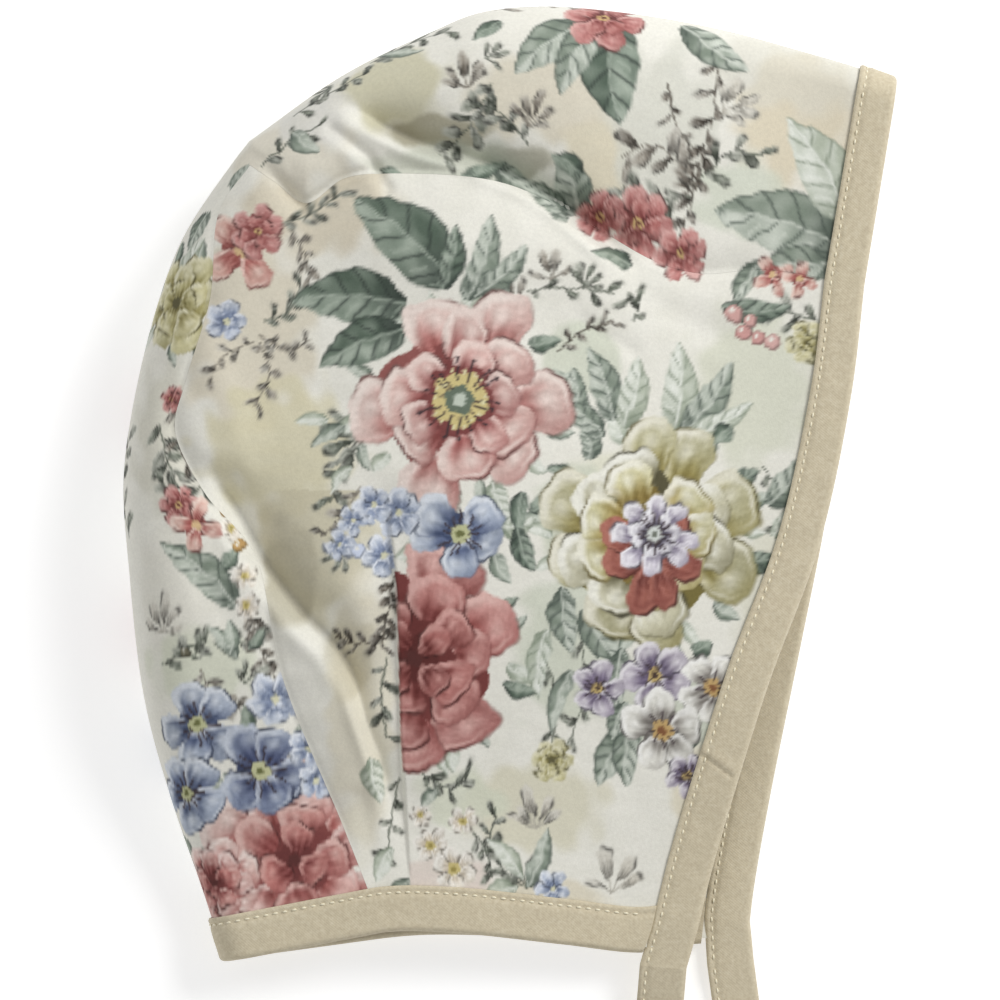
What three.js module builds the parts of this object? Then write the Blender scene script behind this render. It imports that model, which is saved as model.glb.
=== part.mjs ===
// A baby bonnet of printed cotton, laid on its left side with the face opening towards +X and the crown
// towards +Y. A centre panel runs from the face edge over the crown to the nape and joins two side panels.
// A linen binding closes the face edge, a second one the neck edge, and two flat ties leave the neck corners.
// Millimetres, +Z up. The origin is on the surface it lies on, under the middle of the bonnet.
import * as THREE from "three";

// Overall size of the bonnet as it lies, without its ties.
const BONNET_DEPTH = 155.2; // X, from the back of the head to the face edge
const BONNET_HEIGHT = 191.8; // Y, from the neck edge to the crown
const CROWN_HEIGHT = 27; // Z, outside, where the crown stands fullest
const MOUTH_HEIGHT = 12; // Z, outside, of the cloth at the face edge and the neck edge
const CORNER_HEIGHT = 7.4; // Z, outside, of the cloth at the upper neck corner
const FACE_RISE = 78; // how far behind the face edge the cloth reaches its full height
const NECK_RISE = 66; // how far above the neck edge it does so
const CORNER_REACH = 58; // how far from the upper neck corner the cloth sinks towards it
const LIFT_REACH = 13; // how far inside the binding the lower cloth comes down to the surface
const SURFACE_GAP = 0.2; // the stiffer lower binding keeps this much off the surface

// Cloth, bindings and ties.
const CLOTH = 1.0; // wall of the printed panels
const BINDING_CLOTH = 1.0; // wall of the folded linen binding
const BINDING_WIDTH = 9.2; // from its folded edge to its inner edge
const BINDING_AT_CROWN = 0.86; // share of that width at the top front corner
const CLEARANCE = 0.3; // between any two pieces
const SEAM_GAP = 0.25; // each panel stops this far short of a seam line
const SEAM_DIP = 1.1; // how deep the cloth sinks along a seam
const SEAM_REACH = 3.5; // and how far to each side of it
const CORNER_RUN = 4.6; // how far the front binding runs on past the neck corner
const NECK_START = BINDING_WIDTH + 0.1; // from the neck corner to the end of the neck binding
const TIE_WIDTH = 9.4;
const TIE_THICKNESS = 1.6;

// Divisions: across the crown, down the back, and across each half of the centre panel.
const CROWN_STEPS = 20;
const BACK_STEPS = 22;
const HALF_STEPS = 7;
const TIE_STEPS = 26;

// Corners of the cloth. Places are shares of the depth and the height, from the middle of the bonnet.
const FRONT_CORNER = { across: 0.4903, up: 0.426 };
const BACK_CORNER = { across: -0.3376, up: 0.3603 };
const NAPE_CORNER = { across: -0.3724, up: -0.4896 };
const UPPER_NECK_CORNER = { across: 0.2294, up: -0.4739 };
const LOWER_NECK_CORNER = { across: 0.299, up: -0.4697 };
const UPPER_SEAM_CORNER = { across: -0.3351, up: 0.3332 };
const LOWER_SEAM_CORNER = { across: -0.2861, up: 0.2059 };

// The outer fold, over the crown and then down the back.
const CROWN_FOLD = [
  { across: 0.4485, up: 0.438 },
  { across: 0.3956, up: 0.451 },
  { across: 0.2719, up: 0.4776 },
  { across: 0.1482, up: 0.4943 },
  { across: 0.0361, up: 0.5005 },
  { across: -0.0438, up: 0.4932 },
  { across: -0.1057, up: 0.4729 },
  { across: -0.2165, up: 0.4291 },
];
const BACK_FOLD = [
  { across: -0.3557, up: 0.3415 },
  { across: -0.4214, up: 0.2623 },
  { across: -0.4549, up: 0.1924 },
  { across: -0.4858, up: 0.0912 },
  { across: -0.4994, up: 0.0078 },
  { across: -0.4923, up: -0.086 },
  { across: -0.4729, up: -0.2216 },
  { across: -0.4394, up: -0.3259 },
  { across: -0.3969, up: -0.427 },
];

// Face edges of the cloth, from the front corner down to each neck corner.
const UPPER_FACE = [
  { across: 0.4543, up: 0.2623 },
  { across: 0.4298, up: 0.0975 },
  { across: 0.3879, up: -0.061 },
  { across: 0.326, up: -0.1976 },
  { across: 0.2887, up: -0.2935 },
  { across: 0.2526, up: -0.3947 },
];
const LOWER_FACE = [
  { across: 0.4523, up: 0.2623 },
  { across: 0.4265, up: 0.0975 },
  { across: 0.3969, up: -0.0443 },
  { across: 0.366, up: -0.1694 },
  { across: 0.3273, up: -0.3238 },
  { across: 0.3067, up: -0.4181 },
];

// Neck edges of the cloth, from the nape to each neck corner.
const UPPER_NECK = [
  { across: -0.2706, up: -0.4755 },
  { across: -0.1662, up: -0.4578 },
  { across: -0.0851, up: -0.4578 },
  { across: 0.067, up: -0.4713 },
  { across: 0.1649, up: -0.4802 },
];
const LOWER_NECK = [
  { across: -0.2474, up: -0.476 },
  { across: -0.1186, up: -0.4635 },
  { across: 0.0619, up: -0.4677 },
  { across: 0.1907, up: -0.4739 },
];

// Seams between the centre panel and the side panels, over the crown and then down the back.
const SEAM_AT_FACE = 0.235; // share of the face edge above the seam
const UPPER_SEAM_AT_NECK = 0.345; // share of the neck edge behind the seam
const LOWER_SEAM_AT_NECK = 0.27;
const UPPER_CROWN_SEAM = [
  { across: 0.326, up: 0.2268 },
  { across: 0.2423, up: 0.2226 },
  { across: 0.183, up: 0.2351 },
  { across: 0.0799, up: 0.2831 },
  { across: -0.0155, up: 0.3154 },
  { across: -0.1649, up: 0.3238 },
  { across: -0.2152, up: 0.3185 },
  { across: -0.2629, up: 0.2935 },
  { across: -0.3015, up: 0.3144 },
];
const UPPER_BACK_SEAM = [
  { across: -0.3737, up: 0.2873 },
  { across: -0.3853, up: 0.1955 },
  { across: -0.4175, up: 0.1069 },
  { across: -0.4304, up: 0.06 },
  { across: -0.393, up: -0.0047 },
  { across: -0.3299, up: -0.0683 },
  { across: -0.2925, up: -0.1997 },
  { across: -0.2152, up: -0.3571 },
];
const LOWER_CROWN_SEAM = [
  { across: 0.268, up: 0.2351 },
  { across: 0.1134, up: 0.2706 },
  { across: -0.0799, up: 0.2769 },
  { across: -0.2088, up: 0.2529 },
];
const LOWER_BACK_SEAM = [
  { across: -0.3312, up: 0.0912 },
  { across: -0.3376, up: -0.0339 },
  { across: -0.3119, up: -0.1694 },
  { across: -0.2603, up: -0.3259 },
];

// Folds, dents and puffs of the upper cloth. Reach is a share of the depth, rise of the crown's height.
const FOLDS = [
  { name: "crown valley, back", ax: -0.235, ay: 0.41, bx: -0.105, by: 0.352, reach: 0.035, rise: -0.1 },
  { name: "crown valley, middle", ax: -0.105, ay: 0.352, bx: 0.05, by: 0.305, reach: 0.04, rise: -0.08 },
  { name: "crown valley, front", ax: 0.05, ay: 0.305, bx: 0.235, by: 0.165, reach: 0.05, rise: -0.09 },
  { name: "puff under the crown seam", ax: -0.16, ay: 0.255, bx: 0.13, by: 0.225, reach: 0.07, rise: 0.09 },
  { name: "puff behind the front corner", ax: 0.1, ay: 0.4, bx: 0.3, by: 0.35, reach: 0.08, rise: 0.06 },
  { name: "back valley, upper", ax: -0.385, ay: 0.06, bx: -0.275, by: -0.09, reach: 0.05, rise: -0.12 },
  { name: "back valley, middle", ax: -0.275, ay: -0.09, bx: -0.215, by: -0.26, reach: 0.05, rise: -0.13 },
  { name: "back valley, neck", ax: -0.215, ay: -0.26, bx: -0.165, by: -0.4, reach: 0.045, rise: -0.1 },
  { name: "puff behind the dart", ax: -0.2, ay: -0.12, bx: -0.165, by: -0.3, reach: 0.04, rise: 0.07 },
  { name: "neck dart", ax: -0.162, ay: -0.02, bx: -0.135, by: -0.42, reach: 0.03, rise: -0.05 },
  { name: "puff over the ear", ax: -0.05, ay: 0.08, bx: 0.12, by: -0.12, reach: 0.16, rise: 0.06 },
];
const FOLD_FADE = 20; // folds fade out over this distance inside the bindings

// Routes of the ties' middles, in millimetres, chosen by hand. They lie loosely on the surface.
const UPPER_TIE_ROUTE = [
  [30.3, -96.0, 6.9],
  [29.8, -102.5, 5.2],
  [29.2, -109.5, 2.4],
  [28.2, -117, 1.0],
  [25.6, -127, 0.85],
  [20.6, -137.5, 0.85],
  [12.6, -147, 0.85],
  [1.4, -154, 0.85],
  [-12, -157.5, 0.85],
  [-26, -157.5, 0.85],
  [-40, -155, 0.85],
  [-54, -153.5, 0.85],
  [-68, -156, 0.85],
  [-80.5, -162.5, 0.85],
  [-91, -172, 0.85],
];
const LOWER_TIE_ROUTE = [
  [43.9, -95.2, 1.8],
  [44.9, -102.5, 1.2],
  [45.9, -110, 0.85],
  [46.6, -120, 0.85],
  [45.6, -131.5, 0.85],
  [41.6, -144, 0.85],
  [34.2, -156, 0.85],
  [23.6, -166.5, 0.85],
  [10, -174.5, 0.85],
  [-5.5, -179, 0.85],
  [-21, -179.5, 0.85],
  [-36, -177, 0.85],
  [-51, -175.5, 0.85],
  [-65, -179, 0.85],
];

const place = (row) => new THREE.Vector3(row.across * BONNET_DEPTH, row.up * BONNET_HEIGHT, 0);

// A smooth line through its first point, the rows of a table and its last point.
function lineThrough(first, rows, last) {
  const points = [first, ...rows.map(place), last];
  const curve = new THREE.CatmullRomCurve3(points, false, "centripetal");
  return (share) => curve.getPointAt(Math.min(Math.max(share, 0), 1));
}

const stretchOf = (line, from, to) => (share) => line(from + (to - from) * share);

const sampled = (line, count = 160) => Array.from({ length: count + 1 }, (_, k) => line(k / count));

function distanceTo(points, p) {
  let best = Infinity;
  for (let k = 1; k < points.length; k += 1) {
    const a = points[k - 1];
    const b = points[k];
    const dx = b.x - a.x;
    const dy = b.y - a.y;
    const along = ((p.x - a.x) * dx + (p.y - a.y) * dy) / (dx * dx + dy * dy);
    const t = Math.min(Math.max(along, 0), 1);
    best = Math.min(best, Math.hypot(p.x - a.x - t * dx, p.y - a.y - t * dy));
  }
  return best;
}

function smoothRise(share) {
  const t = Math.min(Math.max(share, 0), 1);
  return t * t * (3 - 2 * t);
}

const bell = (share) => Math.exp(-share * share);

const frontCorner = place(FRONT_CORNER);
const backCorner = place(BACK_CORNER);
const napeCorner = place(NAPE_CORNER);
const crownFold = lineThrough(frontCorner, CROWN_FOLD, backCorner);
const backFold = lineThrough(backCorner, BACK_FOLD, napeCorner);

// One layer of the bonnet: its face and neck edges, its seams, and its side panel as a four-sided patch.
function layerOf(neckPlace, faceRows, neckRows, seamPlace, crownRows, backRows, seamAtNeck) {
  const neckCorner = place(neckPlace);
  const seamCorner = place(seamPlace);
  const faceEdge = lineThrough(frontCorner, faceRows, neckCorner);
  const neckEdge = lineThrough(napeCorner, neckRows, neckCorner);
  const seamFace = faceEdge(SEAM_AT_FACE);
  const seamNeck = neckEdge(seamAtNeck);
  const crownSeam = lineThrough(seamFace, crownRows, seamCorner);
  const backSeam = lineThrough(seamCorner, backRows, seamNeck);
  const top = stretchOf(crownSeam, 1, 0);
  const bottom = stretchOf(neckEdge, seamAtNeck, 1);
  const front = stretchOf(faceEdge, SEAM_AT_FACE, 1);
  // Forward runs from the back seam to the face edge, down from the crown seam to the neck edge.
  const panelAt = (forward, down) => {
    const p = new THREE.Vector3();
    p.addScaledVector(top(forward), 1 - down).addScaledVector(bottom(forward), down);
    p.addScaledVector(backSeam(down), 1 - forward).addScaledVector(front(down), forward);
    p.addScaledVector(seamCorner, -(1 - forward) * (1 - down)).addScaledVector(seamFace, -forward * (1 - down));
    p.addScaledVector(seamNeck, -(1 - forward) * down).addScaledVector(neckCorner, -forward * down);
    return p;
  };
  return { neckCorner, faceEdge, neckEdge, crownSeam, backSeam, panelAt };
}

const upper = layerOf(
  UPPER_NECK_CORNER,
  UPPER_FACE,
  UPPER_NECK,
  UPPER_SEAM_CORNER,
  UPPER_CROWN_SEAM,
  UPPER_BACK_SEAM,
  UPPER_SEAM_AT_NECK,
);
const lower = layerOf(
  LOWER_NECK_CORNER,
  LOWER_FACE,
  LOWER_NECK,
  LOWER_SEAM_CORNER,
  LOWER_CROWN_SEAM,
  LOWER_BACK_SEAM,
  LOWER_SEAM_AT_NECK,
);

const foldPoints = [...sampled(crownFold), ...sampled(backFold).slice(1)];
const upperFacePoints = sampled(upper.faceEdge);
const upperNeckPoints = sampled(upper.neckEdge);
const lowerFacePoints = sampled(lower.faceEdge);
const lowerNeckPoints = sampled(lower.neckEdge);
const upperSeamPoints = [...sampled(upper.crownSeam), ...sampled(upper.backSeam).slice(1)];

// How the cloth stands at a place: the height of its upper layer, and how far the lower one is lifted.
function standAt(p) {
  const fromFace = Math.max(distanceTo(upperFacePoints, p) - BINDING_WIDTH, 0);
  const fromNeck = Math.max(distanceTo(upperNeckPoints, p) - BINDING_WIDTH, 0);
  const full = smoothRise(fromFace / FACE_RISE) * smoothRise(fromNeck / NECK_RISE);
  const corner = 1 - smoothRise(p.distanceTo(upper.neckCorner) / CORNER_REACH);
  const height =
    MOUTH_HEIGHT + (CROWN_HEIGHT - MOUTH_HEIGHT) * full - (MOUTH_HEIGHT - CORNER_HEIGHT) * corner;
  const fromLowerEdge = Math.min(distanceTo(lowerFacePoints, p), distanceTo(lowerNeckPoints, p));
  const inside = (fromLowerEdge - BINDING_WIDTH) / LIFT_REACH;
  const lift = (BINDING_CLOTH + CLEARANCE + SURFACE_GAP) * (1 - smoothRise(inside));
  const fade = smoothRise(Math.min(fromFace, fromNeck) / FOLD_FADE);
  return { height, lift, fade };
}

function foldsAt(p) {
  let rise = 0;
  for (const fold of FOLDS) {
    const from = place({ across: fold.ax, up: fold.ay });
    const to = place({ across: fold.bx, up: fold.by });
    rise += fold.rise * CROWN_HEIGHT * bell(distanceTo([from, to], p) / (fold.reach * BONNET_DEPTH));
  }
  return rise - SEAM_DIP * bell(distanceTo(upperSeamPoints, p) / SEAM_REACH);
}

// Outside of the cloth over or under a place in plan. The fold is a half circle between the two layers.
function clothAt(p, side, fromFold) {
  const { height, lift, fade } = standAt(p);
  const radius = (height - lift) / 2;
  const inside = Math.min(fromFold / radius, 1);
  const round = Math.sqrt(1 - (1 - inside) * (1 - inside));
  const folds = side > 0 ? foldsAt(p) * fade * inside : 0;
  return new THREE.Vector3(p.x, p.y, (height + lift) / 2 + side * radius * round + folds);
}

const clothOver = (p, side) => clothAt(p, side, distanceTo(foldPoints, p));

// Outward normals of a grid of points, whose rows and columns turn right-handed about them.
function normalsOf(grid) {
  const last = grid.length - 1;
  const end = grid[0].length - 1;
  return grid.map((row, i) =>
    row.map((_, j) => {
      const down = grid[Math.min(i + 1, last)][j].clone().sub(grid[Math.max(i - 1, 0)][j]);
      const along = grid[i][Math.min(j + 1, end)].clone().sub(grid[i][Math.max(j - 1, 0)]);
      return down.cross(along).normalize();
    }),
  );
}

function geometryFrom(triangles) {
  const geometry = new THREE.BufferGeometry();
  const numbers = triangles.flat().flatMap((p) => [p.x, p.y, p.z]);
  geometry.setAttribute("position", new THREE.Float32BufferAttribute(numbers, 3));
  geometry.computeVertexNormals();
  return geometry;
}

// A closed sheet of cloth: its outside is the grid, its inside lies a wall deeper, and rims join them.
function sheetGeometry(grid) {
  const normals = normalsOf(grid);
  const inner = grid.map((row, i) => row.map((p, j) => p.clone().addScaledVector(normals[i][j], -CLOTH)));
  const last = grid.length - 1;
  const end = grid[0].length - 1;
  const triangles = [];
  const quad = (a, b, c, d) => triangles.push([a, b, c], [a, c, d]);
  for (let i = 0; i < last; i += 1) {
    for (let j = 0; j < end; j += 1) {
      quad(grid[i][j], grid[i + 1][j], grid[i + 1][j + 1], grid[i][j + 1]);
      triangles.push([inner[i][j], inner[i + 1][j + 1], inner[i + 1][j]]);
      triangles.push([inner[i][j], inner[i][j + 1], inner[i + 1][j + 1]]);
    }
    quad(grid[i + 1][0], grid[i][0], inner[i][0], inner[i + 1][0]);
    quad(grid[i][end], grid[i + 1][end], inner[i + 1][end], inner[i][end]);
  }
  for (let j = 0; j < end; j += 1) {
    quad(grid[0][j], grid[0][j + 1], inner[0][j + 1], inner[0][j]);
    quad(grid[last][j + 1], grid[last][j], inner[last][j], inner[last][j + 1]);
  }
  return geometryFrom(triangles);
}

// A closed section carried through stations, each with its place and its two axes.
function sweptGeometry(stations, section) {
  const rings = stations.map((station) =>
    section(station).map(([out, up]) =>
      station.at.clone().addScaledVector(station.out, out).addScaledVector(station.up, up),
    ),
  );
  const count = rings[0].length;
  const triangles = [];
  for (let k = 1; k < rings.length; k += 1) {
    for (let i = 0; i < count; i += 1) {
      const next = (i + 1) % count;
      triangles.push([rings[k - 1][i], rings[k - 1][next], rings[k][next]]);
      triangles.push([rings[k - 1][i], rings[k][next], rings[k][i]]);
    }
  }
  const outline = section(stations[0]).map(([out, up]) => new THREE.Vector2(out, up));
  for (const [a, b, c] of THREE.ShapeUtils.triangulateShape(outline, [])) {
    triangles.push([rings[0][a], rings[0][c], rings[0][b]]);
    triangles.push([rings.at(-1)[a], rings.at(-1)[b], rings.at(-1)[c]]);
  }
  return geometryFrom(triangles);
}

// Side panels. Rows and columns turn so that the outside faces away from the hollow.
const shareOf = (step, steps, length) => {
  const short = SEAM_GAP / length;
  return short + (1 - short) * (step / steps);
};

function panelGrid(layer, side) {
  const columns = (j) => shareOf(j, CROWN_STEPS, BONNET_DEPTH / 2);
  const rows = (i) => shareOf(i, BACK_STEPS, BONNET_HEIGHT / 2);
  const grid = Array.from({ length: BACK_STEPS + 1 }, (_, i) =>
    Array.from({ length: CROWN_STEPS + 1 }, (_, j) => clothOver(layer.panelAt(columns(j), rows(i)), side)),
  );
  if (side > 0) return grid;
  return grid[0].map((_, j) => grid.map((row) => row[j]));
}

// Centre panel: from the upper seam round the fold to the lower seam, at every step from face to nape.
function centreGrid() {
  const steps = CROWN_STEPS + BACK_STEPS;
  const stationAt = (j) =>
    j <= CROWN_STEPS
      ? { part: "crownSeam", fold: crownFold, share: j / CROWN_STEPS }
      : { part: "backSeam", fold: backFold, share: (j - CROWN_STEPS) / BACK_STEPS };
  const pointAt = (j, step) => {
    const layer = step < 0 ? upper : lower;
    const { part, fold, share } = stationAt(j);
    const edge = fold(share);
    const away = layer[part](share).sub(edge);
    const reach = (Math.abs(step) / HALF_STEPS) ** 2 * (1 - SEAM_GAP / away.length());
    const p = edge.addScaledVector(away, reach);
    return clothAt(p, step < 0 ? 1 : -1, step === 0 ? 0 : distanceTo(foldPoints, p));
  };
  return Array.from({ length: 2 * HALF_STEPS + 1 }, (_, i) =>
    Array.from({ length: steps + 1 }, (_, j) => pointAt(j, i - HALF_STEPS)),
  );
}

const upperGrid = panelGrid(upper, 1);
const lowerGrid = panelGrid(lower, -1);
const middleGrid = centreGrid();

// Edge stations of a grid: the edge point, the way out of the cloth along it, and the outward normal.
function stationsOn(grid, pick, inwardPick, count) {
  const normals = normalsOf(grid);
  return Array.from({ length: count }, (_, k) => {
    const [i, j] = pick(k);
    const [a, b] = inwardPick(k);
    const up = normals[i][j];
    return { at: grid[i][j], out: grid[i][j].clone().sub(grid[a][b]), up };
  });
}

// The way out is turned square to the path and the normal, so that the binding keeps its width.
function squared(stations) {
  return stations.map((station, k) => {
    const before = stations[Math.max(k - 1, 0)].at;
    const after = stations[Math.min(k + 1, stations.length - 1)].at;
    const along = after.clone().sub(before).normalize();
    const up = station.up.clone().addScaledVector(along, -station.up.dot(along)).normalize();
    const out = up.clone().cross(along).normalize();
    if (out.dot(station.out) < 0) out.negate();
    if (station.slanted) return { at: station.at, out: station.out.clone().divideScalar(station.out.dot(out)), up };
    return { at: station.at, out, up };
  });
}

const lastRow = BACK_STEPS;
const lastColumn = CROWN_STEPS;
const lastStep = CROWN_STEPS + BACK_STEPS;
const across = 2 * HALF_STEPS + 1;

// From the lower neck corner up the lower face edge, round the front corner and down the upper one.
const lowerFaceStations = stationsOn(
  lowerGrid,
  (k) => [lastColumn, lastRow - k],
  (k) => [lastColumn - 1, lastRow - k],
  lastRow,
);
const frontTurn = stationsOn(
  middleGrid,
  (k) => [across - 1 - k, 0],
  (k) => [across - 1 - k, 1],
  across,
);
const upperFaceStations = stationsOn(
  upperGrid,
  (k) => [k + 1, lastColumn],
  (k) => [k + 1, lastColumn - 1],
  lastRow,
);

function runOn(stations, last, before) {
  const along = last.at.clone().sub(before.at).normalize();
  return { ...last, at: last.at.clone().addScaledVector(along, CORNER_RUN) };
}

const frontPath = squared([...lowerFaceStations, ...frontTurn, ...upperFaceStations]);
const frontStations = [
  runOn(frontPath, frontPath[0], frontPath[1]),
  ...frontPath,
  runOn(frontPath, frontPath.at(-1), frontPath.at(-2)),
];

// From the upper neck corner back along the upper neck edge, round the nape and out along the lower one.
const upperNeckStations = stationsOn(
  upperGrid,
  (k) => [lastRow, lastColumn - k],
  (k) => [lastRow - 1, lastColumn - k],
  lastColumn,
);
const napeTurn = stationsOn(
  middleGrid,
  (k) => [k, lastStep],
  (k) => [k, lastStep - 1],
  across,
);
const lowerNeckStations = stationsOn(
  lowerGrid,
  (k) => [k + 1, lastRow],
  (k) => [k + 1, lastRow - 1],
  lastColumn,
);

// The stations from a neck corner on, cut where the binding meets the front binding's inner edge.
function cutAtFront(stations) {
  const fromCorner = (station) => station.at.distanceTo(stations[0].at);
  const next = stations.findIndex((station) => fromCorner(station) > NECK_START);
  const [near, far] = [stations[next - 1], stations[next]];
  const share = (NECK_START - fromCorner(near)) / (fromCorner(far) - fromCorner(near));
  const end = { ...far, at: near.at.clone().lerp(far.at, share), slanted: true };
  return [end, ...stations.slice(next).filter((station) => station.at.distanceTo(end.at) > CLOTH)];
}

const neckStations = squared([
  ...cutAtFront(upperNeckStations),
  ...napeTurn,
  ...cutAtFront(lowerNeckStations.reverse()).reverse(),
]);

// Section of a binding folded over the cloth: two legs and a rounded fold past the raw edge.
function bindingSection(width) {
  const inner = CLEARANCE;
  const outer = CLEARANCE + BINDING_CLOTH;
  const leg = -(width - outer);
  const middle = -CLOTH / 2;
  const half = CLOTH / 2 + outer;
  const bend = 0.72;
  return [
    [leg, inner],
    [0, inner],
    [inner, middle],
    [0, -CLOTH - inner],
    [leg, -CLOTH - inner],
    [leg, -CLOTH - outer],
    [0, -CLOTH - outer],
    [outer * bend, middle - half * bend],
    [outer, middle],
    [outer * bend, middle + half * bend],
    [0, outer],
    [leg, outer],
  ];
}

// The front binding is narrower at the crown, where its bias strip is pulled round the corner.
function frontSection(station) {
  const drop = smoothRise((frontCorner.y - station.at.y) / BONNET_HEIGHT);
  return bindingSection(BINDING_WIDTH * (BINDING_AT_CROWN + (1 - BINDING_AT_CROWN) * drop));
}

// Flat ties, level across their width, with softly rounded edges.
function tieStations(route) {
  const curve = new THREE.CatmullRomCurve3(route.map((p) => new THREE.Vector3(...p)), false, "centripetal");
  const level = new THREE.Vector3(0, 0, 1);
  return Array.from({ length: TIE_STEPS + 1 }, (_, k) => {
    const along = curve.getTangentAt(k / TIE_STEPS);
    const out = level.clone().cross(along).normalize();
    return { at: curve.getPointAt(k / TIE_STEPS), out, up: along.clone().cross(out).normalize() };
  });
}

function tieSection() {
  const half = TIE_WIDTH / 2;
  const thick = TIE_THICKNESS / 2;
  const soft = half - thick;
  return [
    [-soft, -thick],
    [soft, -thick],
    [half, -thick / 2],
    [half, thick / 2],
    [soft, thick],
    [-soft, thick],
    [-half, thick / 2],
    [-half, -thick / 2],
  ];
}

const printedCotton = () => new THREE.MeshStandardMaterial({ color: 0xdedbd0, roughness: 0.85, metalness: 0 });
const linen = () => new THREE.MeshStandardMaterial({ color: 0xbfb294, roughness: 0.9, metalness: 0 });

const bonnet = new THREE.Group();
function addPiece(name, geometry, material) {
  const piece = new THREE.Mesh(geometry, material);
  piece.name = name;
  bonnet.add(piece);
}

addPiece("centre_panel", sheetGeometry(middleGrid), printedCotton());
addPiece("side_panel_right", sheetGeometry(upperGrid), printedCotton());
addPiece("side_panel_left", sheetGeometry(lowerGrid), printedCotton());
addPiece("front_binding", sweptGeometry(frontStations, frontSection), linen());
addPiece("neck_binding", sweptGeometry(neckStations, () => bindingSection(BINDING_WIDTH)), linen());
addPiece("tie_right", sweptGeometry(tieStations(UPPER_TIE_ROUTE), tieSection), linen());
addPiece("tie_left", sweptGeometry(tieStations(LOWER_TIE_ROUTE), tieSection), linen());

export default bonnet;
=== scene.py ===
"""A baby bonnet of printed cotton with linen bindings and ties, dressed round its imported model."""

import bmesh
import bpy
import numpy as np
from mathutils import Matrix, Vector


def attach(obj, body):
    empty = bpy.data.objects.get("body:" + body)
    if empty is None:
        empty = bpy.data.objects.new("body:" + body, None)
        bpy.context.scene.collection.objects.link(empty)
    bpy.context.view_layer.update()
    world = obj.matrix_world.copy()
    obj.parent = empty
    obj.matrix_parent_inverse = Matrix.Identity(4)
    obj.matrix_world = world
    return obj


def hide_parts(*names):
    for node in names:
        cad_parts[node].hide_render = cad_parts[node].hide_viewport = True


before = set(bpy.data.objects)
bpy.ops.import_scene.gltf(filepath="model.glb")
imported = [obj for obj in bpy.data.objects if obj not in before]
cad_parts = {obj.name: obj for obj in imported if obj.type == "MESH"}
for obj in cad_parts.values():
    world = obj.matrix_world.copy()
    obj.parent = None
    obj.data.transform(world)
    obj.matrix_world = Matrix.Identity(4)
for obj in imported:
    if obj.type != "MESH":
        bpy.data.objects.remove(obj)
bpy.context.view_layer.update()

# The view. The bonnet lies on a pale table and is looked at straight from above. The view is a fifth of a
# metre wide and ends just below the neck, so it cuts both ties off. The light is soft daylight from the upper
# right. The table glows a little, which keeps the ground white under faint shadows.
MM = 0.001
FILM_WIDTH = 36
VIEW_WIDTH = 200 * MM
VIEW_MIDDLE = (-2.4 * MM, -2.5 * MM)
EYE_HEIGHT = 1500 * MM
SHARP_HEIGHT = 10 * MM
DAYLIGHT = 0.4
TABLE_SIZE = 6.0
TABLE_DROP = 0.2 * MM

camera_data = bpy.data.cameras.new("camera")
camera_data.sensor_width = FILM_WIDTH
camera_data.lens = FILM_WIDTH * (EYE_HEIGHT - SHARP_HEIGHT) / VIEW_WIDTH
camera = bpy.data.objects.new("camera", camera_data)
camera.location = (*VIEW_MIDDLE, EYE_HEIGHT)
bpy.context.scene.collection.objects.link(camera)
bpy.context.scene.camera = camera
bpy.context.scene.view_settings.view_transform = "Standard"


def add_light(name, place, size, power):
    """A square soft box that faces the middle of the table; metres and watts."""
    light = bpy.data.lights.new(name, "AREA")
    light.size = size
    light.energy = power
    holder = bpy.data.objects.new(name, light)
    holder.location = place
    holder.rotation_euler = holder.location.to_track_quat("Z", "Y").to_euler()
    bpy.context.scene.collection.objects.link(holder)


add_light("window", (0.98, 0.84, 0.94), 0.7, 19.5)
add_light("reflector", (-1.1, -0.45, 1.2), 1.2, 4.2)

world = bpy.data.worlds.new("daylight")
world.use_nodes = True
world.node_tree.nodes["Background"].inputs["Color"].default_value = (1.0, 1.0, 1.0, 1.0)
world.node_tree.nodes["Background"].inputs["Strength"].default_value = DAYLIGHT
bpy.context.scene.world = world


def tone_of(code):
    """A hex colour as shares of red, green and blue."""
    return np.array([int(code[k : k + 2], 16) / 255 for k in (1, 3, 5)])


def linear(tones):
    """Shares of red, green and blue turned from sRGB to linear, with full alpha."""
    light = np.where(tones <= 0.04045, tones / 12.92, ((tones + 0.055) / 1.055) ** 2.4)
    return np.concatenate([light, np.ones_like(light[..., :1])], axis=-1)


def colour(code):
    """A hex colour as a shader takes it."""
    return tuple(linear(tone_of(code)))


def add_node(material, kind, settings=(), links=()):
    """Adds a shader node, sets its values and sockets, and links sockets of earlier nodes into it."""
    tree = material.node_tree
    node = tree.nodes.new(kind)
    for name, value in dict(settings).items():
        if name in node.inputs:
            node.inputs[name].default_value = value
        else:
            setattr(node, name, value)
    for name, (source, output) in dict(links).items():
        tree.links.new(source.outputs[output], node.inputs[name])
    return node


def new_material(name):
    """An empty material with its output node."""
    material = bpy.data.materials.new(name)
    material.use_nodes = True
    material.node_tree.nodes.clear()
    output = add_node(material, "ShaderNodeOutputMaterial")
    return material, output


table_paint, table_output = new_material("white_table_lacquer")
table_shader = add_node(
    table_paint,
    "ShaderNodeBsdfPrincipled",
    {
        "Base Color": colour("#DCDCDC"),
        "Roughness": 0.9,
        "Emission Color": colour("#FFFFFF"),
        "Emission Strength": 0.5,
    },
)
table_paint.node_tree.links.new(table_shader.outputs[0], table_output.inputs["Surface"])
bpy.ops.mesh.primitive_plane_add(size=TABLE_SIZE, location=(0, 0, -TABLE_DROP))
table = bpy.context.object
table.name = "table"
table.data.materials.append(table_paint)

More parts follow.
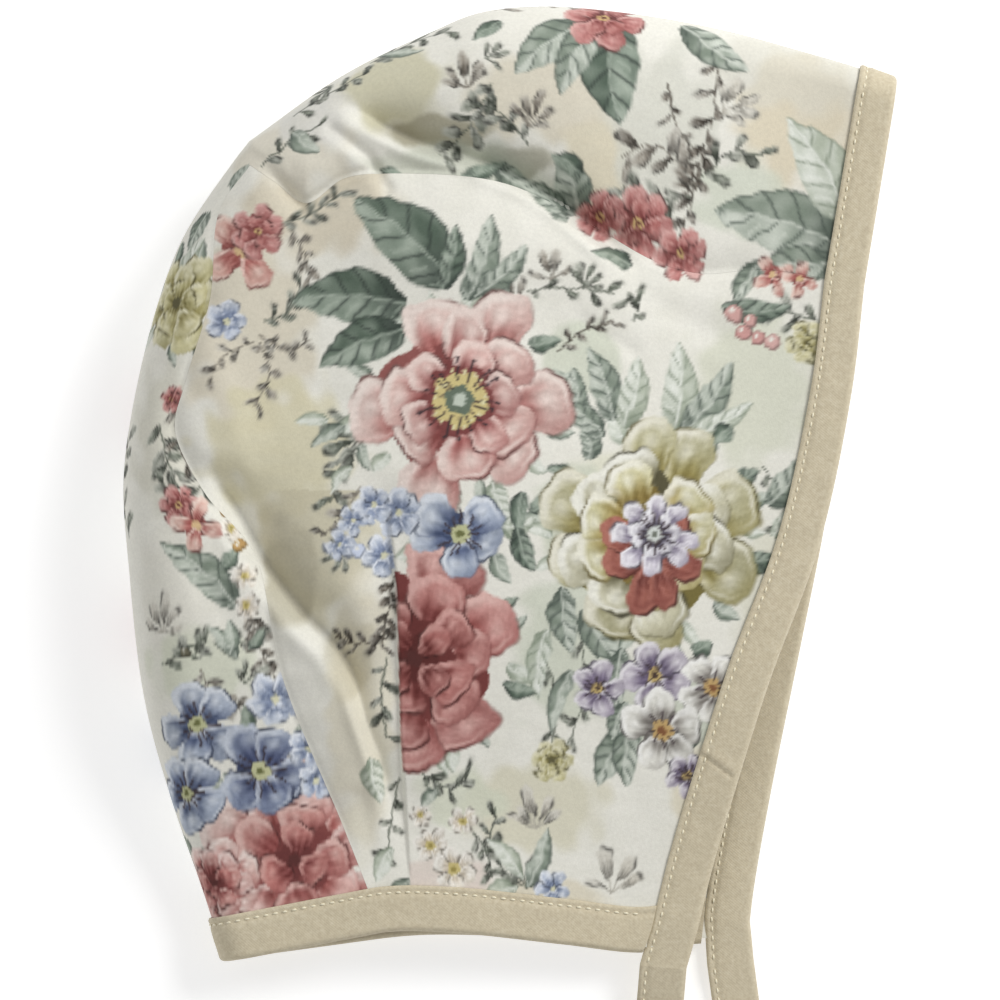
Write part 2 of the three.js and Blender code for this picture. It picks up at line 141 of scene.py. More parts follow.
# The ties. Each is a strip of beige linen folded twice into a flat tape and topstitched along one edge. It
# leaves a neck corner, comes down to the table and lies there in loose curves to its plain cut end. Over its
# first centimetre it takes its section over from the binding. Sizes are millimetres, as all below.
TIE_WIDTH = 9.4
TIE_THICKNESS = 1.5
TIE_EDGE = 0.9
SHARP_ANGLE = 1.05
TIE_BLEND = 11.0
TIE_WAVES = 0.05
TIE_WAVE_LENGTH = 8
BINDING_PAST_EDGE = 1.1
STITCH_PRESS = 0.3
STITCH_PRESS_REACH = 0.6
EDGE_PRESS = 0.38
EDGE_PRESS_REACH = 0.7
TIE_STITCH_PRESS = 0.16
TIE_STITCH_PRESS_REACH = 0.55
NEARLY_FLAT = 0.98
TIE_STEPS = (6, 120)
TIE_CUTS = 3
UPPER_TIE_ROUTE = [
    (30.3, -96.0, 6.9),
    (29.8, -102.5, 5.2),
    (29.2, -109.5, 2.4),
    (28.2, -117, 1.0),
    (25.6, -127, 0.85),
    (20.6, -137.5, 0.85),
    (12.6, -147, 0.85),
    (1.4, -154, 0.85),
    (-12, -157.5, 0.85),
    (-26, -157.5, 0.85),
    (-40, -155, 0.85),
    (-54, -153.5, 0.85),
    (-68, -156, 0.85),
    (-80.5, -162.5, 0.85),
    (-91, -172, 0.85),
]
LOWER_TIE_ROUTE = [
    (43.9, -95.2, 1.8),
    (44.9, -102.5, 1.2),
    (45.9, -110, 0.85),
    (46.6, -120, 0.85),
    (45.6, -131.5, 0.85),
    (41.6, -144, 0.85),
    (34.2, -156, 0.85),
    (23.6, -166.5, 0.85),
    (10, -174.5, 0.85),
    (-5.5, -179, 0.85),
    (-21, -179.5, 0.85),
    (-36, -177, 0.85),
    (-51, -175.5, 0.85),
    (-65, -179, 0.85),
]


def smooth_line(points, samples=48):
    """A smooth line through given points, as places and their distance along it, in millimetres."""
    points = np.asarray(points, float)
    first = 2 * points[0] - points[1]
    last = 2 * points[-1] - points[-2]
    padded = np.vstack([first, points, last])
    steps = np.sqrt(np.linalg.norm(np.diff(padded, axis=0), axis=1))
    share = np.linspace(0, 1, samples, endpoint=False)[:, None]
    pieces = []
    for k in range(1, len(padded) - 2):
        before, here, after, beyond = padded[k - 1 : k + 3]
        a, b, c = steps[k - 1 : k + 2]
        leave = ((here - before) / a - (after - before) / (a + b) + (after - here) / b) * b
        arrive = ((after - here) / b - (beyond - here) / (b + c) + (beyond - after) / c) * b
        pieces.append(
            here
            + leave * share
            + (3 * (after - here) - 2 * leave - arrive) * share**2
            + (2 * (here - after) + leave + arrive) * share**3
        )
    return measured(np.vstack([*pieces, points[-1:]]))


def measured(places):
    """Places along a line with their distance along it."""
    return places, np.r_[0, np.cumsum(np.linalg.norm(np.diff(places[:, :3], axis=0), axis=1))]


def point_at(line, share):
    """Places at shares of a line's length."""
    places, lengths = line
    want = np.clip(share, 0, 1) * lengths[-1]
    return np.stack([np.interp(want, lengths, places[:, k]) for k in range(places.shape[1])], axis=-1)


def unit(vectors):
    """Vectors brought to length one."""
    return vectors / np.maximum(np.linalg.norm(vectors, axis=-1, keepdims=True), 1e-9)


def smooth_rise(share):
    """A rise from 0 to 1 that is level at both ends."""
    share = np.clip(share, 0, 1)
    return share * share * (3 - 2 * share)


TURN = 6.283
WAVES_ADDED = 7


def ripples(x, y, length, seed):
    """Soft irregular waves of about one length, from -1 to 1, the same on every run."""
    waves = np.random.default_rng(seed)
    total = np.zeros(np.shape(x))
    for _ in range(WAVES_ADDED):
        way, size, start = waves.uniform(0, TURN), waves.uniform(0.75, 1.5), waves.uniform(0, TURN)
        total = total + np.sin((x * np.cos(way) + y * np.sin(way)) * TURN * size / length + start)
    return total / (0.6 * WAVES_ADDED)


def new_piece(name, bm, material, node=None):
    """A bmesh as a named, smooth-shaded object that rides on the bonnet's one body."""
    mesh = bpy.data.meshes.new(name)
    bm.to_mesh(mesh)
    bm.free()
    piece = bpy.data.objects.new(name, mesh)
    bpy.context.scene.collection.objects.link(piece)
    mesh.materials.append(material)
    mesh.shade_smooth()
    mesh.set_sharp_from_angle(angle=SHARP_ANGLE)
    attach(piece, "root")
    if node:
        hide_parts(node)
    return piece


def cloth_piece(name, node, steps, cuts, outside, inside, material):
    """A closed cloth wall: a grid takes a wall, its outside is cut finer, and both faces are shaped.

    The outside and the inside are functions of the shares across and along the cloth. Returned are the
    piece, which vertices are outside, and every vertex's shares.
    """
    bm = bmesh.new()
    bmesh.ops.create_grid(bm, x_segments=steps[0], y_segments=steps[1], size=0.5)
    bmesh.ops.solidify(bm, geom=bm.faces[:], thickness=1.0)
    faces = [f for f in bm.faces if all(v.co.z > -0.5 for v in f.verts)]
    edges = list({e for f in faces for e in f.edges})
    bmesh.ops.subdivide_edges(bm, edges=edges, cuts=cuts, use_grid_fill=True)
    piece = new_piece(name, bm, material, node)
    flat = np.zeros(len(piece.data.vertices) * 3)
    piece.data.vertices.foreach_get("co", flat)
    flat = flat.reshape(-1, 3)
    outer = flat[:, 2] > -0.5
    across, along = flat[:, 0] + 0.5, flat[:, 1] + 0.5
    shaped = np.zeros_like(flat)
    shaped[outer] = outside(across[outer], along[outer])
    shaped[~outer] = inside(across[~outer], along[~outer])
    piece.data.vertices.foreach_set("co", (shaped * MM).ravel())
    piece.data.update()
    return piece, outer, across, along


# Dry plain-woven linen: its slubs vary its beige, and its threads, drawn somewhat coarser than they are, show
# as a fine slanting grid because the tapes are cut on the bias.
LINEN_DARK = "#C0B49B"
LINEN = "#CABFA5"
LINEN_LIGHT = "#D3C9B1"
LINEN_SLUB_SCALE = 1500.0
LINEN_THREAD = 0.42
BIAS_TURN = 0.7
WAVE_PERIOD = 314.0
linen, linen_output = new_material("beige_plain_woven_linen")
linen_place = add_node(linen, "ShaderNodeTexCoord")
linen_slubs = add_node(
    linen,
    "ShaderNodeTexNoise",
    {"Scale": LINEN_SLUB_SCALE, "Detail": 2.0, "Roughness": 0.5},
    {"Vector": (linen_place, "Object")},
)
linen_shade = add_node(linen, "ShaderNodeValToRGB", {}, {"Fac": (linen_slubs, "Fac")})
linen_shade.color_ramp.elements[0].position = 0.25
linen_shade.color_ramp.elements[0].color = colour(LINEN_DARK)
linen_shade.color_ramp.elements[1].position = 0.75
linen_shade.color_ramp.elements[1].color = colour(LINEN_LIGHT)
linen_middle = linen_shade.color_ramp.elements.new(0.5)
linen_middle.color = colour(LINEN)
linen_bias = add_node(
    linen,
    "ShaderNodeMapping",
    {"Rotation": (0.0, 0.0, BIAS_TURN)},
    {"Vector": (linen_place, "Object")},
)
linen_warp, linen_weft = (
    add_node(
        linen,
        "ShaderNodeTexWave",
        {"bands_direction": way, "Scale": WAVE_PERIOD / LINEN_THREAD, "Distortion": 1.2, "Detail": 1.0},
        {"Vector": (linen_bias, "Vector")},
    )
    for way in ("X", "Y")
)
linen_weave = add_node(
    linen,
    "ShaderNodeMath",
    {"operation": "MULTIPLY"},
    {0: (linen_warp, "Fac"), 1: (linen_weft, "Fac")},
)
linen_bump = add_node(
    linen,
    "ShaderNodeBump",
    {"Strength": 0.3, "Distance": 0.0001},
    {"Height": (linen_weave, "Value")},
)
linen_shader = add_node(
    linen,
    "ShaderNodeBsdfPrincipled",
    {"Roughness": 0.92, "Sheen Weight": 0.15, "Specular IOR Level": 0.25},
    {"Base Color": (linen_shade, "Color"), "Normal": (linen_bump, "Normal")},
)
linen.node_tree.links.new(linen_shader.outputs[0], linen_output.inputs["Surface"])

# Cream cotton sewing thread, round and a little glossy, so each stitch catches the light.
THREAD_WIDTH = 0.5
STITCH_PITCH = 1.9
STITCH_LENGTH = 1.2
STITCH_INSET = 1.35
THREAD_RISE = 0.08
TIE_SEWN = (0.004, 0.985)
TIE_SEWN_POINTS = 400
thread, thread_output = new_material("cream_cotton_thread")
thread_shader = add_node(
    thread,
    "ShaderNodeBsdfPrincipled",
    {"Base Color": colour("#EDE5CB"), "Roughness": 0.6, "Sheen Weight": 0.3},
)
thread.node_tree.links.new(thread_shader.outputs[0], thread_output.inputs["Surface"])


def stitch_row(name, places, ups):
    """A row of sewn stitches along places, in millimetres, each a short rounded length of thread."""
    line = measured(np.hstack([places, ups]))
    count = int(line[1][-1] / STITCH_PITCH)
    bm = bmesh.new()
    for k in range(count):
        middle = point_at(line, (k + 0.5) / count)
        ends = point_at(line, (k + 0.5 + np.array([-0.5, 0.5]) * STITCH_LENGTH / STITCH_PITCH) / count)
        way = Vector(unit(ends[1, :3] - ends[0, :3]))
        up = Vector(unit(middle[3:]))
        side = way.cross(up).normalized()
        turn = Matrix((way, side, way.cross(side) * -1)).transposed().to_4x4()
        shape = Matrix.Diagonal((STITCH_LENGTH / 2 * MM, THREAD_WIDTH / 2 * MM, THREAD_WIDTH / 2 * MM, 1.0))
        place = Matrix.Translation(Vector(middle[:3]) * MM)
        bmesh.ops.create_icosphere(bm, subdivisions=1, radius=1.0, matrix=place @ turn @ shape)
    bmesh.ops.recalc_face_normals(bm, faces=bm.faces[:])
    return new_piece(name, bm, thread)


def tie_stations(route):
    """A tie's middle line with its way to the side at every place of it."""
    line = smooth_line(route)
    ahead = unit(np.gradient(line[0], axis=0))
    side = unit(np.cross(ahead, [0.0, 0.0, 1.0]))
    return measured(np.hstack([line[0], side, np.cross(side, ahead)]))


def pressed(from_edge):
    """How far a binding is pressed in, by its stitches and towards its sewn edge."""
    at_stitch = STITCH_PRESS * np.exp(-(((from_edge - STITCH_INSET) / STITCH_PRESS_REACH) ** 2))
    return at_stitch + EDGE_PRESS * np.clip(1 - from_edge / EDGE_PRESS_REACH, 0, 1) ** 2


def tie_shape(line, face):
    """The upper or the under face of a tie: flat across, thin at its edges, pressed in at its stitches."""

    def shape(across, along):
        station = point_at(line, along)
        off = (across - 0.5) * TIE_WIDTH
        run = along * line[1][-1]
        edge = np.clip((np.abs(off) - TIE_WIDTH / 2 + TIE_EDGE) / TIE_EDGE, 0, 1)
        from_edge = TIE_WIDTH / 2 - off
        rise = TIE_THICKNESS / 2 * np.sqrt(1 - NEARLY_FLAT * edge**2)
        rise = rise - TIE_STITCH_PRESS * np.exp(-(((from_edge - STITCH_INSET) / TIE_STITCH_PRESS_REACH) ** 2))
        blend = smooth_rise(run / TIE_BLEND)
        rise = rise + TIE_WAVES * ripples(run, off * 2, TIE_WAVE_LENGTH, 5) * blend
        bent = np.clip((from_edge - TIE_WIDTH + BINDING_PAST_EDGE) / BINDING_PAST_EDGE, 0, 1)
        strip = (TIE_THICKNESS / 2 - pressed(from_edge)) * np.sqrt(1 - NEARLY_FLAT * bent**2)
        rise = strip + (rise - strip) * blend
        return station[:, :3] + station[:, 3:6] * off[:, None] + station[:, 6:] * (face * rise)[:, None]

    return shape


for side_name, route in (("right", UPPER_TIE_ROUTE), ("left", LOWER_TIE_ROUTE)):
    line = tie_stations(route)
    tie, *_ = cloth_piece(
        f"tie_{side_name}_tape",
        f"tie_{side_name}",
        TIE_STEPS,
        TIE_CUTS,
        tie_shape(line, 1),
        tie_shape(line, -1),
        linen,
    )
    walk = np.linspace(*TIE_SEWN, TIE_SEWN_POINTS)
    ups = point_at(line, walk)[:, 6:]
    seat = tie_shape(line, 1)(np.full(TIE_SEWN_POINTS, 1 - STITCH_INSET / TIE_WIDTH), walk)
    tie_thread = stitch_row(f"tie_{side_name}_topstitch", seat + ups * THREAD_RISE, ups)

# The printed cotton. The cloth is cut from three pieces: a long centre panel from the face edge over the
# crown to the nape, and two side panels sewn to it. As it lies, the centre panel folds along its middle. All
# places are shares of the bonnet's depth and height, from the middle of the bonnet. The cloth's inside lies a
# little deeper than its wall, so that its coarser mesh stays under the tucks.
BONNET_DEPTH = 155.2
BONNET_HEIGHT = 191.8
CROWN_HEIGHT = 27.0
MOUTH_HEIGHT = 12.0
CORNER_HEIGHT = 7.4
FACE_RISE = 78.0
NECK_RISE = 66.0
CORNER_REACH = 58.0
LOWER_LIFT = 1.5
LIFT_REACH = 13.0
CLOTH_WALL = 0.9
INSIDE_DEPTH = 1.15
BINDING_WIDTH = 9.2
SEAM_GAP = 0.012
SEAM_DIP = 1.1
SEAM_REACH = 3.5
SEAM_GROOVE = 0.42
SEAM_GROOVE_REACH = 0.9
SEAM_STEP = 1.3
SEAM_STEP_START = 0.6
SEAM_STEP_REACH = 3.5
SEAM_STEP_LEAST = 0.35
SEAM_STEP_MIDDLE = 72
SEAM_STEP_SPREAD = 26
PUCKER = 0.2
PUCKER_LENGTH = 6.5
PUCKER_REACH = 3.2
PANEL_DEPTH = 80
PANEL_HEIGHT = 90
FOLD_FADE = 20.0
EDGE_CREASES = 0.35
NEAR_SHARE = 2 / 3
FOLD_BUNCHING = 1.5

FRONT_CORNER = (0.4903, 0.426)
BACK_CORNER = (-0.3376, 0.3603)
NAPE_CORNER = (-0.3724, -0.4896)
CROWN_FOLD = [
    (0.4485, 0.438),
    (0.3956, 0.451),
    (0.2719, 0.4776),
    (0.1482, 0.4943),
    (0.0361, 0.5005),
    (-0.0438, 0.4932),
    (-0.1057, 0.4729),
    (-0.2165, 0.4291),
]
BACK_FOLD = [
    (-0.3557, 0.3415),
    (-0.4214, 0.2623),
    (-0.4549, 0.1924),
    (-0.4858, 0.0912),
    (-0.4994, 0.0078),
    (-0.4923, -0.086),
    (-0.4729, -0.2216),
    (-0.4394, -0.3259),
    (-0.3969, -0.427),
]
SEAM_AT_FACE = 0.235
UPPER = {
    "neck corner": (0.2294, -0.4739),
    "face": [
        (0.4543, 0.2623),
        (0.4298, 0.0975),
        (0.3879, -0.061),
        (0.326, -0.1976),
        (0.2887, -0.2935),
        (0.2526, -0.3947),
    ],
    "neck": [(-0.2706, -0.4755), (-0.1662, -0.4578), (-0.0851, -0.4578), (0.067, -0.4713), (0.1649, -0.4802)],
    "seam corner": (-0.3351, 0.3332),
    "crown seam": [
        (0.326, 0.2268),
        (0.2423, 0.2226),
        (0.183, 0.2351),
        (0.0799, 0.2831),
        (-0.0155, 0.3154),
        (-0.1649, 0.3238),
        (-0.2152, 0.3185),
        (-0.2629, 0.2935),
        (-0.3015, 0.3144),
    ],
    "back seam": [
        (-0.3737, 0.2873),
        (-0.3853, 0.1955),
        (-0.4175, 0.1069),
        (-0.4304, 0.06),
        (-0.393, -0.0047),
        (-0.3299, -0.0683),
        (-0.2925, -0.1997),
        (-0.2152, -0.3571),
    ],
    "seam at neck": 0.345,
}
LOWER = {
    "neck corner": (0.299, -0.4697),
    "face": [
        (0.4523, 0.2623),
        (0.4265, 0.0975),
        (0.3969, -0.0443),
        (0.366, -0.1694),
        (0.3273, -0.3238),
        (0.3067, -0.4181),
    ],
    "neck": [(-0.2474, -0.476), (-0.1186, -0.4635), (0.0619, -0.4677), (0.1907, -0.4739)],
    "seam corner": (-0.2861, 0.2059),
    "crown seam": [(0.268, 0.2351), (0.1134, 0.2706), (-0.0799, 0.2769), (-0.2088, 0.2529)],
    "back seam": [(-0.3312, 0.0912), (-0.3376, -0.0339), (-0.3119, -0.1694), (-0.2603, -0.3259)],
    "seam at neck": 0.27,
}
# Broad dents and puffs of the upper cloth, in shares: both ends, reach and rise.
FOLDS = [
    ((-0.16, 0.25), (0.1, 0.235), 0.06, 0.08),
    ((0.1, 0.4), (0.3, 0.35), 0.08, 0.06),
    ((-0.2, -0.12), (-0.165, -0.3), 0.04, 0.06),
    ((-0.162, -0.02), (-0.135, -0.42), 0.03, -0.05),
    ((-0.05, 0.08), (0.12, -0.12), 0.16, 0.06),
]
# The folds where the cloth tucks under itself, in millimetres: depth, reach on the broad side, reach on the
# steep side, rise of the ridge beside it, and places.
TUCKS = [
    (6.6, 4.2, 1.5, 1.6, [
        (-37.5, 79.5), (-34.6, 77.3), (-19.8, 69.2), (-11.4, 66.6),
        (-2.2, 63.3), (7, 58.6), (19.2, 48.7), (26.6, 42.7),
    ]),
    (6.8, 5.4, 2.2, 1.5, [
        (-61, 7.5), (-58.4, 1.9), (-53, -6.7), (-48, -15.9),
        (-42, -23.9), (-34.6, -31.3), (-31.6, -37.3), (-29, -46.5),
    ]),
    (3.0, 2.6, 1.3, 1.0, [
        (-34.6, -31.3), (-31.6, -37.3), (-29, -46.5), (-26.6, -53.3), (-24.4, -61.9), (-24.2, -69.9),
    ]),
]
TUCK_ROUND = 1.0
TUCK_FADE = 14
TUCK_SAMPLES = 8
RIDGE_AWAY = 1.9
RIDGE_REACH = 1.2
# The pleat of the dart over the neck, in millimetres: where it fades in and out along its run, the width of
# its step, and the rise and reach of the cloth ahead of it and behind it.
DART_FADE_IN = 12
DART_FADE_OUT = 5
DART_END = 79.5
DART_STEP = 0.9
DART_AHEAD = (0.75, 5)
DART_BEHIND = (0.45, 3)
DART = [(-25.2, -0.5), (-23.4, -14.5), (-22.8, -22.5), (-22.2, -49.5), (-20.8, -72.5), (-20.2, -80.5)]
# The fine creases, in millimetres: places, reach, rise. Then the waves all over the cloth: rise and length.
CREASES = [
    ([(-35.8, 70.9), (-28.4, 65.3), (-26, 61.1), (-24.8, 59.1)], 1.3, -1.4),
    ([(-55, 68), (-49.2, 64.7), (-42, 55.5)], 1.5, -1.3),
    ([(-42, 55.5), (-35, 59.5), (-29.6, 62.3)], 1.3, -1.0),
    ([(-42, 72), (-33, 67), (-27, 60)], 3.0, 0.8),
    ([(-52, 60), (-44, 66), (-38, 63)], 3.2, 0.7),
    ([(-70.0, 24.0), (-66.0, 8.0), (-62.0, 2.0)], 2.4, -0.8),
    ([(-70.0, -6.0), (-60.0, -20.0), (-52.0, -32.0)], 3.0, -0.6),
    ([(14.0, 33.0), (24.0, 27.0)], 1.8, -0.5),
    ([(22.0, 44.0), (30.0, 36.0), (40.0, 31.0)], 3.4, -0.7),
    ([(-36.0, 18.0), (-22.0, 8.0)], 3.5, -0.3),
    ([(-62.0, 30.0), (-56.0, 16.0), (-53.0, 4.0)], 4.0, 0.8),
    ([(-30.0, -62.0), (-27.0, -78.0)], 2.0, -0.5),
    ([(-14.0, -70.0), (-16.0, -79.0)], 2.6, 0.4),
    ([(2.0, -66.0), (0.0, -79.0)], 3.5, -0.35),
    ([(26.0, -40.0), (24.0, -62.0)], 4.0, -0.3),
    ([(44.0, 30.0), (56.0, 33.0)], 3.0, -0.3),
]
CLOTH_WAVES = [(0.13, 23), (0.04, 6.5)]


def spots(shares):
    """Shares of the depth and height as places in millimetres."""
    return np.asarray(shares, float) * (BONNET_DEPTH, BONNET_HEIGHT)


def line_between(first, rows, last):
    """A smooth line from one place, through rows of shares, to another place."""
    return smooth_line([first, *spots(rows), last])


def nearest_on(points, x, y):
    """How far places are from a line of points, where along it, and on which side of it."""
    best = np.full(np.shape(x), 1e9)
    run = np.zeros(np.shape(x))
    hand = np.ones(np.shape(x))
    walked = 0.0
    for (ax, ay), (bx, by) in zip(points[:-1], points[1:]):
        dx, dy = bx - ax, by - ay
        length = max(np.hypot(dx, dy), 1e-9)
        share = np.clip(((x - ax) * dx + (y - ay) * dy) / length**2, 0, 1)
        away = (x - ax - share * dx) ** 2 + (y - ay - share * dy) ** 2
        closer = away < best
        best = np.where(closer, away, best)
        run = np.where(closer, walked + share * length, run)
        hand = np.where(closer, np.sign(dx * (y - ay) - dy * (x - ax)), hand)
        walked += length
    return np.sqrt(best), run, hand


def distance_to(points, x, y):
    """Distance from places to a line of points, across the table."""
    return nearest_on(points, x, y)[0]


front_corner, back_corner, nape_corner = spots([FRONT_CORNER, BACK_CORNER, NAPE_CORNER])
crown_fold = line_between(front_corner, CROWN_FOLD, back_corner)
back_fold = line_between(back_corner, BACK_FOLD, nape_corner)


def layer_lines(layer):
    """The edge and seam lines of one layer of the bonnet."""
    corner = spots(layer["neck corner"])
    seam_corner = spots(layer["seam corner"])
    face = line_between(front_corner, layer["face"], corner)
    neck = line_between(nape_corner, layer["neck"], corner)
    seam_face = point_at(face, SEAM_AT_FACE)
    seam_neck = point_at(neck, layer["seam at neck"])
    return {
        "corner": corner,
        "seam corner": seam_corner,
        "seam face": seam_face,
        "seam neck": seam_neck,
        "neck share": layer["seam at neck"],
        "face": face,
        "neck": neck,
        "crown": line_between(seam_face, layer["crown seam"], seam_corner),
        "back": line_between(seam_corner, layer["back seam"], seam_neck),
    }


upper_lines, lower_lines = layer_lines(UPPER), layer_lines(LOWER)


def panel_place(lines, forward, down):
    """Places in a side panel, forward from its back seam and down from its crown seam."""
    f, d = forward[:, None], down[:, None]
    top = point_at(lines["crown"], 1 - forward)
    bottom = point_at(lines["neck"], lines["neck share"] + (1 - lines["neck share"]) * forward)
    front = point_at(lines["face"], SEAM_AT_FACE + (1 - SEAM_AT_FACE) * down)
    sides = (1 - d) * top + d * bottom + (1 - f) * point_at(lines["back"], down) + f * front
    corners = (1 - f) * (1 - d) * lines["seam corner"] + f * (1 - d) * lines["seam face"]
    return sides - corners - (1 - f) * d * lines["seam neck"] - f * d * lines["corner"]


def thinned(line, count=70):
    """A line by a few points, for measuring distances."""
    return point_at(line, np.linspace(0, 1, count))


FOLD_POINTS = 120
EDGE_POINTS = 50
fold_points = np.vstack([thinned(crown_fold, FOLD_POINTS), thinned(back_fold, FOLD_POINTS)])
seam_points = np.vstack([thinned(upper_lines["crown"]), thinned(upper_lines["back"])])
upper_face_points, upper_neck_points = (thinned(upper_lines[edge], EDGE_POINTS) for edge in ("face", "neck"))
lower_edge_points = [thinned(lower_lines[edge], EDGE_POINTS) for edge in ("face", "neck")]


def stand_at(x, y):
    """The upper layer's height, the lower layer's lift and the fade of the folds, at places."""
    from_face = np.maximum(distance_to(upper_face_points, x, y) - BINDING_WIDTH, 0)
    from_neck = np.maximum(distance_to(upper_neck_points, x, y) - BINDING_WIDTH, 0)
    full = smooth_rise(from_face / FACE_RISE) * smooth_rise(from_neck / NECK_RISE)
    to_corner = np.hypot(x - upper_lines["corner"][0], y - upper_lines["corner"][1])
    corner = 1 - smooth_rise(to_corner / CORNER_REACH)
    height = MOUTH_HEIGHT + (CROWN_HEIGHT - MOUTH_HEIGHT) * full - (MOUTH_HEIGHT - CORNER_HEIGHT) * corner
    from_lower = np.minimum(*(distance_to(points, x, y) for points in lower_edge_points))
    lift = LOWER_LIFT * (1 - smooth_rise((from_lower - BINDING_WIDTH) / LIFT_REACH))
    return height, lift, smooth_rise(np.minimum(from_face, from_neck) / FOLD_FADE)


def folds_at(x, y):
    """The rise of the dents, puffs and tucks and of the seam, where the side panel stands higher."""
    from_seam, run, hand = nearest_on(seam_points, x, y)
    rise = -SEAM_DIP * np.exp(-((from_seam / SEAM_REACH) ** 2))
    rise = rise - SEAM_GROOVE * np.exp(-((from_seam / SEAM_GROOVE_REACH) ** 2))
    step = (1 - np.exp(-((from_seam / SEAM_STEP_START) ** 2))) * np.exp(-from_seam / SEAM_STEP_REACH)
    strong = np.exp(-(((run - SEAM_STEP_MIDDLE) / SEAM_STEP_SPREAD) ** 2))
    rise = rise - SEAM_STEP * (hand < 0) * step * (SEAM_STEP_LEAST + (1 - SEAM_STEP_LEAST) * strong)
    pucker = PUCKER * ripples(run, np.zeros_like(run), PUCKER_LENGTH, 11)
    rise = rise + pucker * np.exp(-((from_seam / PUCKER_REACH) ** 2))
    for start, end, reach, high in FOLDS:
        away = distance_to(spots([start, end]), x, y) / (reach * BONNET_DEPTH)
        rise = rise + high * CROWN_HEIGHT * np.exp(-(away**2))
    for deep, broad, steep, ridge, places in TUCKS:
        line = smooth_line(places, TUCK_SAMPLES)
        away, run, hand = nearest_on(line[0], x, y)
        ends = smooth_rise(run / TUCK_FADE) * smooth_rise((line[1][-1] - run) / TUCK_FADE)
        eased = np.sqrt(away**2 + TUCK_ROUND**2) - TUCK_ROUND
        slope = np.exp(-eased / np.where(hand > 0, broad, steep))
        lip = (hand < 0) * np.exp(-(((away / steep - RIDGE_AWAY) / RIDGE_REACH) ** 2))
        rise = rise + ends * (ridge * lip - deep * slope)
    return rise


def fine_folds_at(x, y):
    """The small folds that only a thin cloth has: the dart's pleat, creases and a slight unevenness."""
    from_dart, run, hand = nearest_on(DART, x, y)
    in_run = smooth_rise(run / DART_FADE_IN) * smooth_rise((DART_END - run) / DART_FADE_OUT)
    ahead = smooth_rise(0.5 + hand * from_dart / DART_STEP)
    raised, sunk = (rise * np.exp(-from_dart / reach) for rise, reach in (DART_AHEAD, DART_BEHIND))
    rise = in_run * (ahead * raised - (1 - ahead) * sunk)
    for places, reach, high in CREASES:
        rise = rise + high * np.exp(-((distance_to(places, x, y) / reach) ** 2))
    for seed, (high, length) in enumerate(CLOTH_WAVES, 3):
        rise = rise + high * ripples(x, y, length, seed)
    return rise


def cloth_at(x, y, side, from_fold):
    """The outside of the cloth over or under places, a half circle at the fold between the layers."""
    height, lift, fade = stand_at(x, y)
    radius = (height - lift) / 2
    inside = np.minimum(from_fold / radius, 1)
    round_share = np.sqrt(1 - (1 - inside) ** 2)
    z = (height + lift) / 2 + side * radius * round_share
    if side > 0:
        creases = fine_folds_at(x, y)
        z = z + (folds_at(x, y) * fade + creases * (EDGE_CREASES + (1 - EDGE_CREASES) * fade)) * inside
    return np.stack([x, y, z], axis=-1)


NORMAL_STEP = 0.004


def with_wall(shape, wall):
    """The inside of a shaped cloth: its outside moved in by the wall, along its normal."""

    def inner(across, along):
        before, after = np.maximum(across - NORMAL_STEP, 0), np.minimum(across + NORMAL_STEP, 1)
        under, over = np.maximum(along - NORMAL_STEP, 0), np.minimum(along + NORMAL_STEP, 1)
        sideways = shape(after, along) - shape(before, along)
        onward = shape(across, over) - shape(across, under)
        return shape(across, along) - wall * unit(np.cross(sideways, onward))

    return inner


def side_panel_shape(lines, side):
    """A side panel's outside, across from its back seam and along from its neck edge.

    The lower one runs across from its face edge, so that its outside faces down.
    """

    def shape(across, along):
        if side < 0:
            across = 1 - across
        forward = SEAM_GAP / PANEL_DEPTH + (1 - SEAM_GAP / PANEL_DEPTH) * across
        place = panel_place(lines, forward, 1 - along * (1 - SEAM_GAP / PANEL_HEIGHT))
        return cloth_at(*place.T, side, distance_to(fold_points, *place.T))

    return shape


def centre_panel_shape(across, along):
    """The centre panel's outside, across from its upper seam round the fold to its lower seam."""
    far = across > NEAR_SHARE
    reach = np.where(far, (across - NEAR_SHARE) / (1 - NEAR_SHARE), (NEAR_SHARE - across) / NEAR_SHARE)
    share = along * 2
    back = share > 1
    fold = np.where(back[:, None], point_at(back_fold, share - 1), point_at(crown_fold, share))
    seam = np.zeros_like(fold)
    for lines, layer in ((upper_lines, ~far), (lower_lines, far)):
        seam[layer & ~back] = point_at(lines["crown"], share[layer & ~back])
        seam[layer & back] = point_at(lines["back"], share[layer & back] - 1)
    away = seam - fold
    length = np.linalg.norm(away, axis=1)
    place = fold + away * (reach**FOLD_BUNCHING * (1 - SEAM_GAP / length))[:, None]
    from_fold = np.where(reach < 1e-6, 0, distance_to(fold_points, *place.T))
    above = cloth_at(*place.T, 1, from_fold)
    under = cloth_at(*place.T, -1, from_fold)
    return np.where(far[:, None], under, above)
